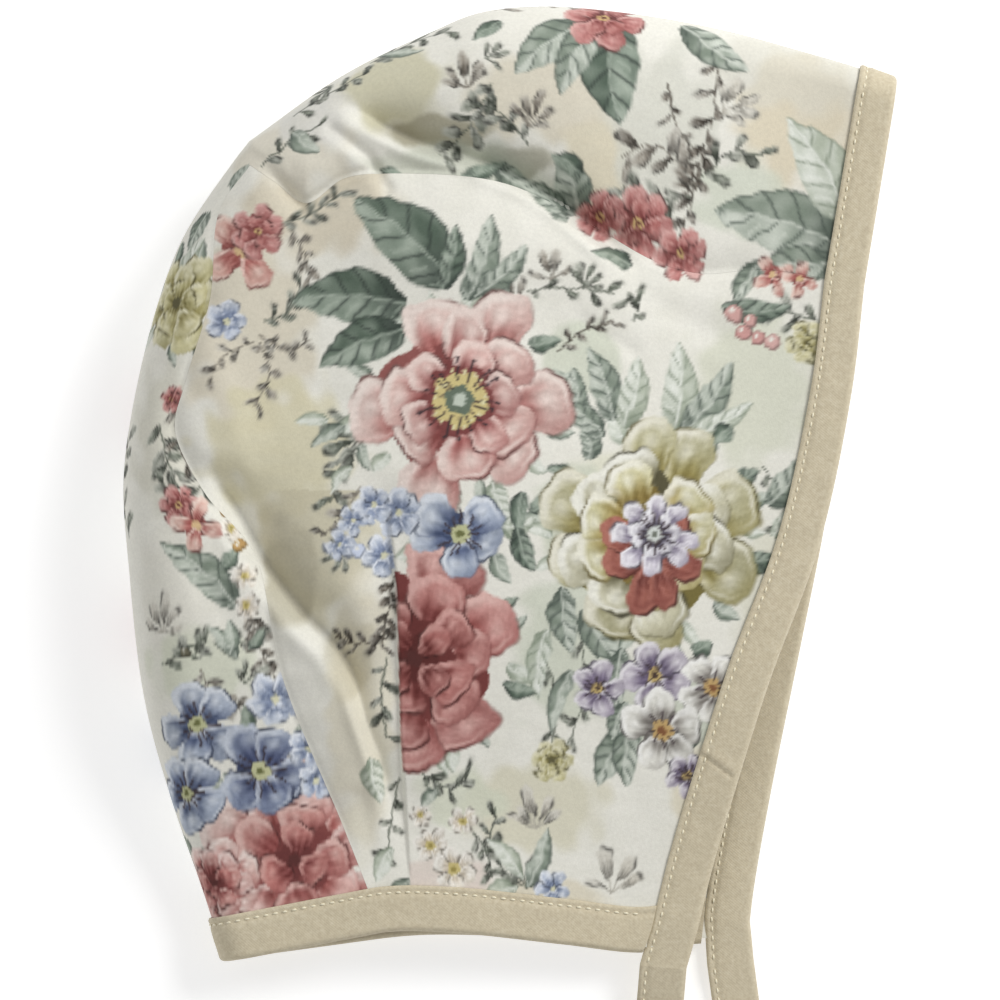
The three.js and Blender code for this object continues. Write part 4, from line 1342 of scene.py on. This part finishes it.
def bloom(sheet, kind, x, y, radius, turn, squeeze):
    """A flower: rings of petals from the outside in, each over a dark heart, then its eye and stamens."""
    rings, eye, (stamens, spread) = FLOWERS[kind]
    chance = np.random.default_rng(int(abs(x * 7 + y * 13) * 10))
    loose = 0.55 if radius > BROAD_RADIUS else 0.25
    for count, start, length, width, inner, outer, rim in rings:
        spin = np.radians(turn) + chance.uniform(0, TURN)
        heart = radius * (start + 0.42 * length)
        disc(sheet, x, y, heart, tone_of(inner) * 0.88, 0.09, chance.uniform(0, 6))
        for k in chance.permutation(count):
            angle = spin + TURN * (k + loose * chance.uniform(-0.45, 0.45)) / count
            far = start * radius * (1 + loose * chance.uniform(-0.3, 0.2))
            dark = tone_of(inner) * chance.uniform(0.88, 1.05)
            pale = tone_of(outer) * chance.uniform(0.9, 1.04)
            petal(
                sheet,
                x + np.cos(angle) * far * squeeze,
                y + np.sin(angle) * far,
                angle + loose * chance.uniform(-0.5, 0.5),
                length * radius * (1 + loose * chance.uniform(-0.3, 0.2)),
                width * radius * (1 + loose * chance.uniform(-0.25, 0.35)),
                dark,
                pale,
                tone_of(rim),
                chance.uniform(0, TURN),
            )
    for share, code in eye:
        disc(sheet, x, y, share * radius, tone_of(code), 0.07, share * 9)
    for k in range(stamens):
        angle = TURN * (k + chance.uniform(-0.3, 0.3)) / stamens
        reach = spread * radius * chance.uniform(0.8, 1.15)
        way = np.array([np.cos(angle), np.sin(angle)])
        foot, tip = way * reach * 0.5, way * reach * 1.1
        ends = [(x + foot[0], y + foot[1]), (x + tip[0], y + tip[1])]
        stroke(sheet, ends, STAMEN_WIDTH, tone_of(STAMEN), 0.85)
        if radius > STAMENED_RADIUS:
            disc(sheet, x + tip[0], y + tip[1], ANTHER_RADIUS, tone_of(STAMEN))
            light = way * reach * 0.75
            place = (x + light[0] - light[1] * 0.2, y + light[1] + light[0] * 0.2)
            disc(sheet, *place, POLLEN_RADIUS, tone_of(POLLEN))


def leaf(sheet, x0, y0, x1, y1, width, tones):
    """A brushed leaf: one half darker, with dark veins, a light rib, pale strokes and one edge lined."""
    dark, middle, light = (tone_of(code) for code in tones)
    length = np.hypot(x1 - x0, y1 - y0)
    way = np.array([x1 - x0, y1 - y0]) / length
    which, dx, dy = sheet.near((x0 + x1) / 2, (y0 + y1) / 2, 0.55 * length + width / 2 + 0.6)
    a = (dx * way[0] + dy * way[1]) / length + 0.5
    b = dy * way[0] - dx * way[1] + 0.07 * length * np.sin(np.pi * a)
    inside = np.clip(a, 0, 1)
    half = width / 2 * np.sin(np.pi * inside**0.75) ** 0.75
    across = np.abs(b) / np.maximum(half, 0.2)
    cover = smooth_rise((half - np.abs(b)) / 0.7 + 0.5) * (np.abs(a - 0.5) < 0.5)
    mottle = ripples(dx + x0, dy + y0, 0.45 * width + 1, 70 + int(abs(x0 * 3 + y0)))
    share = np.clip(np.where(b > 0, 0.5, 0.0) + 0.3 * mottle + 0.35 * inside, 0, 1)[:, None]
    tone = middle * (1 - share) + light * share
    shade = (smooth_rise(1 - 2.4 * inside) * 0.75 + 0.35 * smooth_rise(0.5 - 2 * across))[:, None]
    shade = np.clip(shade * np.where(b > 0, 0.75, 1.0)[:, None], 0, 0.85)
    tone = tone * (1 - shade) + dark * shade
    beat = (inside * 5 - across * 0.9) % 1.0
    vein = (np.exp(-(((beat - 0.5) * length / 5 / 0.4) ** 2)) * (width > 4) * 0.6)[:, None]
    tone = tone * (1 - vein) + dark * vein
    pale = np.exp(-(((beat - 0.85) * length / 5 / 0.5) ** 2)) * (b > 0) * (0.3 < across) * (across < 0.8)
    pale = 0.6 * pale[:, None]
    tone = tone * (1 - pale) + light * pale
    rib = (0.75 * np.exp(-((b / 0.34) ** 2)))[:, None]
    tone = tone * (1 - rib) + light * rib
    edge = (np.exp(-(((1 - across) * half / 0.42) ** 2)) * np.where(b < 0, 0.7, 0.1))[:, None]
    tone = tone * (1 - edge) + dark * edge
    sheet.lay(which, cover, tone)


def foliage(sheet, x, y, radius):
    """Leaves that look out from behind a large flower."""
    chance = np.random.default_rng(int(abs(x * 11 + y * 5) * 10))
    kinds = (PALE, SAGE, DEEP, SAGE, PALE)
    count = int(radius * 0.8)
    for k in range(count):
        angle = TURN * (k + chance.uniform(-0.4, 0.4)) / count
        tilt = angle + chance.uniform(-0.5, 0.5)
        foot = (x + np.cos(angle) * radius * 0.8, y + np.sin(angle) * radius * 0.8)
        reach = chance.uniform(4.5, 8.5)
        tip = (foot[0] + np.cos(tilt) * reach, foot[1] + np.sin(tilt) * reach)
        leaf(sheet, *foot, *tip, reach * chance.uniform(0.4, 0.6), kinds[k % 5])


def small_leaf(sheet, foot, angle, length, width, tone, turn):
    """One leaflet: dark at its foot and pale along a part of its edge."""
    petal(sheet, *foot, angle, length, width, tone * 0.72, tone, tone * 0.5 + tone_of(CREAM) * 0.5, turn)


def twig(sheet, code, size, count, seed, places):
    """A thin stem with brushed leaflets to both sides, some of them pale and some dark."""
    line = smooth_line(places, 12)
    tone = tone_of(code)
    chance = np.random.default_rng(seed)
    stroke(sheet, point_at(line, np.linspace(0, 1, 14)), STEM_WIDTH, tone * 0.85, 0.8)
    for k in range(count):
        share = (k + chance.uniform(0.2, 0.9)) / count
        foot = point_at(line, share)
        ahead = point_at(line, share + 0.03) - point_at(line, share - 0.03)
        angle = np.arctan2(ahead[1], ahead[0]) + (1 if k % 2 else -1) * chance.uniform(0.5, 1.2)
        pale = chance.uniform(0, 0.55)
        leaflet = tone * 0.75 if k % 3 == 1 else tone * (1 - pale) + tone_of(CREAM) * pale * 0.9
        length, width = size * chance.uniform(0.95, 1.7), size * chance.uniform(0.5, 0.8)
        small_leaf(sheet, foot, angle, length, width, leaflet, chance.uniform(0, TURN))


def sprig(sheet, code, x, y, way, reach, count):
    """A fan of brushed leaflets on short stalks from one foot, shorter to its sides."""
    chance = np.random.default_rng(int(abs(x * 17 + y * 3) * 10))
    for k in range(count):
        side = 2 * k / (count - 1) - 1 + chance.uniform(-0.15, 0.15)
        angle = np.radians(way) + 1.1 * side
        length = reach * (1 - 0.35 * abs(side)) * chance.uniform(0.85, 1.1)
        ahead = np.array([np.cos(angle), np.sin(angle)]) * length
        stalk = [(x, y), (x + ahead[0] * 0.5, y + ahead[1] * 0.5)]
        stroke(sheet, stalk, STALK_WIDTH, tone_of(code) * 0.85, 0.7)
        pale = chance.uniform(0, 0.5)
        tone = tone_of(code) * (1 - pale) + tone_of(CREAM) * pale * 0.9
        foot = (x + ahead[0] * 0.3, y + ahead[1] * 0.3)
        width = length * chance.uniform(0.28, 0.4)
        small_leaf(sheet, foot, angle, length * 0.75, width, tone, chance.uniform(0, TURN))


def printed_and_shaded(x, y, layer):
    """The colours of the print, and of the painted shade along the tucks, at places of one cut of cloth."""
    sheet = Sheet(x, y)
    every = np.arange(len(x))
    for k, (layers, wx, wy, rx, ry, code, strength) in enumerate(WASHES_AND_SHADE):
        if set(layer) & set(layers):
            far = np.hypot((sheet.x - wx) / rx, (sheet.y - wy) / ry)
            far = far + WASH_STRAY * ripples(x, y, WASH_STRAY_LENGTH, 90 + k)
            sheet.lay(every, strength * smooth_rise((1.12 - far) / WASH_EDGE), tone_of(code))
    brushed = 0.5 + 0.5 * ripples(x, y * 2.2, BRUSHED_LENGTH, 55)
    sheet.lay(every, BRUSHED_SHARE * brushed, tone_of(BRUSHED))
    for layers, *motif in TWIGS:
        if layer in layers:
            twig(sheet, *motif)
    for layers, *motif in SPRIGS:
        if layer in layers:
            sprig(sheet, *motif)
    for layers, _, bx, by, radius, *_ in BLOOMS:
        if layer in layers and radius > BROAD_RADIUS:
            foliage(sheet, bx, by, radius)
    for layers, *motif in LEAVES:
        if layer in layers:
            leaf(sheet, *motif)
    for layers, *motif in BLOOMS:
        if layer in layers:
            bloom(sheet, *motif)
    for layers, bx, by, radius, code in BERRIES:
        if layer in layers:
            disc(sheet, bx, by, radius, tone_of(code) * 0.72)
            disc(sheet, bx - 0.15, by + 0.2, radius * 0.82, tone_of(code))
            disc(sheet, bx - 0.3 * radius, by + 0.35 * radius, radius * 0.3, tone_of(CREAM))
    return np.clip(sheet.tone, 0, 1)


def unrolled(x, y, far):
    """Places on the centre panel laid flat: past the fold its cloth runs on outwards."""
    height, lift, _ = stand_at(x, y)
    radius = (height - lift) / 2
    away, run, _ = nearest_on(fold_points, x, y)
    line = measured(fold_points)
    ahead = np.gradient(fold_points, axis=0)
    out = unit(np.stack([np.interp(run, line[1], way) for way in (ahead[:, 1], -ahead[:, 0])], axis=-1))
    turn = np.arcsin(1 - np.clip(away / radius, 0, 1))
    bulge = radius * turn - np.maximum(radius - away, 0)
    round_fold = radius * (np.pi - 1 - turn) + np.maximum(away - radius, 0) + away
    reach = np.where(far, round_fold, bulge)
    return x + out[:, 0] * reach, y + out[:, 1] * reach


def colour_cloth(node, shape):
    """Puts the print and its painted shade on a panel's cloth as a colour at every vertex; the reverse side
    is paler.
    """
    piece, outer, across, along = cloth_pieces[node]
    x, y = shape(across, along)[:, :2].T
    if node == "centre_panel":
        tone = printed_and_shaded(*unrolled(x, y, across > NEAR_SHARE), "c")
    elif node == "side_panel_right":
        from_dart, _, hand = nearest_on(DART, x, y)
        ahead = np.where(y < DART[0][1], smooth_rise(0.5 + hand * from_dart / DART_CUT), 1.0)[:, None]
        tone = printed_and_shaded(x, y, "a") * ahead + printed_and_shaded(x, y, "b") * (1 - ahead)
    else:
        tone = printed_and_shaded(UNDER_SHIFT[0] - x, y + UNDER_SHIFT[1], "a")
    paler = tone * REVERSE_SHARE + tone_of(CREAM) * (1 - REVERSE_SHARE)
    tone = np.where(outer[:, None], tone, paler)
    # The colour is the print together with the painted shade laid along the tucks.
    colours = piece.data.attributes.new("print_and_shade", "FLOAT_COLOR", "POINT")
    colours.data.foreach_set("color", linear(tone).ravel())


for node, _, _, shape in PANELS:
    colour_cloth(node, shape)

# The bindings. Strips of beige linen, cut on the bias, are folded over the raw edges and topstitched close to
# their inner edge. The front one runs round the face opening, the other along the neck from corner to corner.
BINDING_RISE = 0.95
BINDING_LINEN = 0.7
BINDING_AT_CROWN = 0.86
NECK_GAP = 0.12
# The diagonal join of the front strip, near its lower end: its place, slant, ridge and the hollow beside it.
BIAS_JOIN = (41.4, -55.9)
BIAS_JOIN_SLANT = -0.35
JOIN_RIDGE = (0.34, 0.0, 0.35)
JOIN_HOLLOW = (0.2, 1.3, 1.1)
STITCH_DIMPLE = 0.07
STITCH_DIMPLE_REACH = 0.7
LINEN_WAVES = [(0.07, 9), (0.04, 3.5)]
EDGE_SAMPLES = 260
TAPE_SAMPLES = 700
TAPE_SOFTENING = 9
TIE_OVERLAP = 6
TAPE_CUTS = 3
FRONT_STEPS = (13, 210)
NECK_STEPS = (13, 110)
EDGE_PROBE = 0.01
LEAST_STEP = 0.05
CUT_FROM = 0.96
THREAD_SINK = 0.22
SEWN_SAMPLES = 900
FRONT_UNSEWN_SHARE = 0.001
NECK_UNSEWN = 9.6


def edge_of(shape, across, along, inward):
    """Places along a cloth's edge, with the way out of the cloth at each."""
    at = shape(across, along)
    inside = shape(across + inward[0] * EDGE_PROBE, along + inward[1] * EDGE_PROBE)
    return np.hstack([at, unit(at - inside)])


def tape_line(edges):
    """A binding's middle line round a cloth's edges: places, the way out and the outward normal."""
    rows = np.vstack(edges)
    keep = np.r_[True, np.linalg.norm(np.diff(rows[:, :3], axis=0), axis=1) > LEAST_STEP]
    line = measured(rows[keep])
    rows = point_at(line, np.linspace(0, 1, TAPE_SAMPLES))
    soft = np.ones(TAPE_SOFTENING) / TAPE_SOFTENING
    padded = np.pad(rows[:, 3:6], ((TAPE_SOFTENING // 2, TAPE_SOFTENING // 2), (0, 0)), mode="edge")
    ways = np.stack([np.convolve(column, soft, mode="valid") for column in padded.T], 1)
    along = unit(np.gradient(rows[:, :3], axis=0))
    up = unit(np.cross(ways, along))
    out = unit(np.cross(along, up))
    return rows[:, :3], out, up


def front_width(y):
    """The front binding's width, a little less at the crown, where it is pulled round the corner."""
    drop = smooth_rise((front_corner[1] - y) / BONNET_HEIGHT)
    return BINDING_WIDTH * (BINDING_AT_CROWN + (1 - BINDING_AT_CROWN) * drop)


even = np.linspace(0, 1, EDGE_SAMPLES)
zeros, ones = np.zeros(EDGE_SAMPLES), np.ones(EDGE_SAMPLES)
round_crown = edge_of(centre_panel_shape, even, zeros, (0, 1))
upper_face_edge = edge_of(upper_shape, ones, even, (-1, 0))
lower_face_edge = edge_of(lower_shape, zeros, 1 - even, (1, 0))
at, out, up = tape_line([upper_face_edge, round_crown, lower_face_edge])
width = front_width(at[:, 1])
middle = at + out * (BINDING_PAST_EDGE - width / 2)[:, None] - up * CLOTH_WALL / 2

upper_start, lower_start = (tie_stations(route)[0][0] for route in (UPPER_TIE_ROUTE, LOWER_TIE_ROUTE))
kept = slice(TIE_OVERLAP, -TIE_OVERLAP)
middle = np.vstack([upper_start[:3], middle[kept], lower_start[:3]])
out = np.vstack([-upper_start[3:6], out[kept], -lower_start[3:6]])
up = np.vstack([upper_start[6:], up[kept], -lower_start[6:]])
width = np.r_[TIE_WIDTH, width[kept], TIE_WIDTH]
front_tape = measured(np.hstack([middle, out, up, width[:, None]]))
upper_half = front_tape[0][: TAPE_SAMPLES // 2, :2]
join_run = front_tape[1][np.argmin(np.hypot(*(upper_half - BIAS_JOIN).T))]


def tape_shape(tape, wall=0.0, ends=None, tied=False):
    """The outside, or the inside, of a strip folded over an edge, across from leg to leg.

    Its ends are cut at the distances and slants given, or run on as ties.
    """
    length = tape[1][-1]

    def shape(across, along):
        guess = point_at(tape, along)
        half = guess[:, 9] / 2
        rise = np.full(across.shape, CLOTH_WALL / 2 + BINDING_RISE)
        if tied:
            fade = smooth_rise(np.minimum(along, 1 - along) * length / TIE_BLEND)
            rise = TIE_THICKNESS / 2 + (rise - TIE_THICKNESS / 2) * fade
        leg = 2 * half - BINDING_PAST_EDGE
        bend = np.pi / 2 * (BINDING_PAST_EDGE + rise)
        whole = 2 * leg + bend
        walk = across * whole
        turn = np.clip((walk - leg) / bend, 0, 1) * np.pi
        top = walk < leg
        under = walk > leg + bend
        a = np.where(top, walk - half, np.where(under, whole - walk - half, half - BINDING_PAST_EDGE))
        a = a + (BINDING_PAST_EDGE - wall) * np.sin(turn)
        from_edge = a + half
        lift = rise - wall
        if not wall:
            run = along * length
            dimple = STITCH_DIMPLE * np.cos(run * 2 * np.pi / STITCH_PITCH)
            dimple = dimple * np.exp(-(((from_edge - STITCH_INSET) / STITCH_DIMPLE_REACH) ** 2))
            waves = sum(
                high * ripples(run, from_edge, length_of_wave, seed)
                for seed, (high, length_of_wave) in enumerate(LINEN_WAVES, 21)
            )
            if tied:
                over_join = run - join_run - BIAS_JOIN_SLANT * a
                ridge, hollow = (
                    high * np.exp(-(((over_join - place) / reach) ** 2))
                    for high, place, reach in (JOIN_RIDGE, JOIN_HOLLOW)
                )
                waves, dimple = waves * fade - (ridge - hollow) * top, dimple * fade
            lift = lift - pressed(from_edge) + dimple + waves
        h = lift * np.cos(turn)
        where = along
        if ends:
            (first, first_slant), (last, last_slant) = ends
            begin = (first + first_slant * a) / length
            stop = 1 - (last + last_slant * a) / length
            where = begin + along * (stop - begin)
        station = point_at(tape, where)
        return station[:, :3] + unit(station[:, 3:6]) * a[:, None] + unit(station[:, 6:9]) * h[:, None]

    return shape


cloth_piece(
    "front_binding_strip",
    "front_binding",
    FRONT_STEPS,
    TAPE_CUTS,
    tape_shape(front_tape, tied=True),
    tape_shape(front_tape, BINDING_LINEN, tied=True),
    linen,
)

upper_neck_edge = edge_of(upper_shape, even, zeros, (0, 1))
lower_neck_edge = edge_of(lower_shape, even, zeros, (0, 1))
round_nape = edge_of(centre_panel_shape, 1 - even, ones, (0, -1))
at, out, up = tape_line([lower_neck_edge, round_nape, upper_neck_edge])
middle = at + out * (BINDING_PAST_EDGE - BINDING_WIDTH / 2) - up * CLOTH_WALL / 2
neck_tape = measured(np.hstack([middle, out, up, np.full((len(at), 1), BINDING_WIDTH)]))


def corner_cut(lines):
    """How far from the neck corner the neck binding meets the front one, and how its end slants."""
    face_way = unit(lines["corner"] - point_at(lines["face"], CUT_FROM))
    neck_way = unit(lines["corner"] - point_at(lines["neck"], CUT_FROM))
    out_way = np.array([neck_way[1], -neck_way[0]])
    slant = face_way @ neck_way / (face_way @ out_way)
    away = (BINDING_WIDTH - BINDING_PAST_EDGE + NECK_GAP) / abs(face_way @ out_way)
    middle_off = BINDING_PAST_EDGE - BINDING_WIDTH / 2
    return away - slant * middle_off, -slant


neck_ends = (corner_cut(lower_lines), corner_cut(upper_lines))
cloth_piece(
    "neck_binding_strip",
    "neck_binding",
    NECK_STEPS,
    TAPE_CUTS,
    tape_shape(neck_tape, ends=neck_ends),
    tape_shape(neck_tape, BINDING_LINEN, ends=neck_ends),
    linen,
)

for name, tape, unsewn in (
    ("front_binding_topstitch", front_tape, FRONT_UNSEWN_SHARE),
    ("neck_binding_topstitch", neck_tape, NECK_UNSEWN / neck_tape[1][-1]),
):
    walk = np.linspace(unsewn, 1 - unsewn, SEWN_SAMPLES)
    station = point_at(tape, walk)
    inset = (STITCH_INSET - station[:, 9] / 2)[:, None]
    rise = np.full(SEWN_SAMPLES, CLOTH_WALL / 2 + BINDING_RISE)
    if tape is front_tape:
        fade = smooth_rise(np.minimum(walk, 1 - walk) * tape[1][-1] / TIE_BLEND)
        rise = TIE_THICKNESS / 2 + (rise - TIE_THICKNESS / 2) * fade
    for face, face_name in ((1, "outside"), (-1, "inside")):
        height = (face * (rise - THREAD_SINK))[:, None]
        seat = station[:, :3] + station[:, 3:6] * inset + station[:, 6:9] * height
        stitch_row(f"{name}_{face_name}", seat, station[:, 6:9] * face)
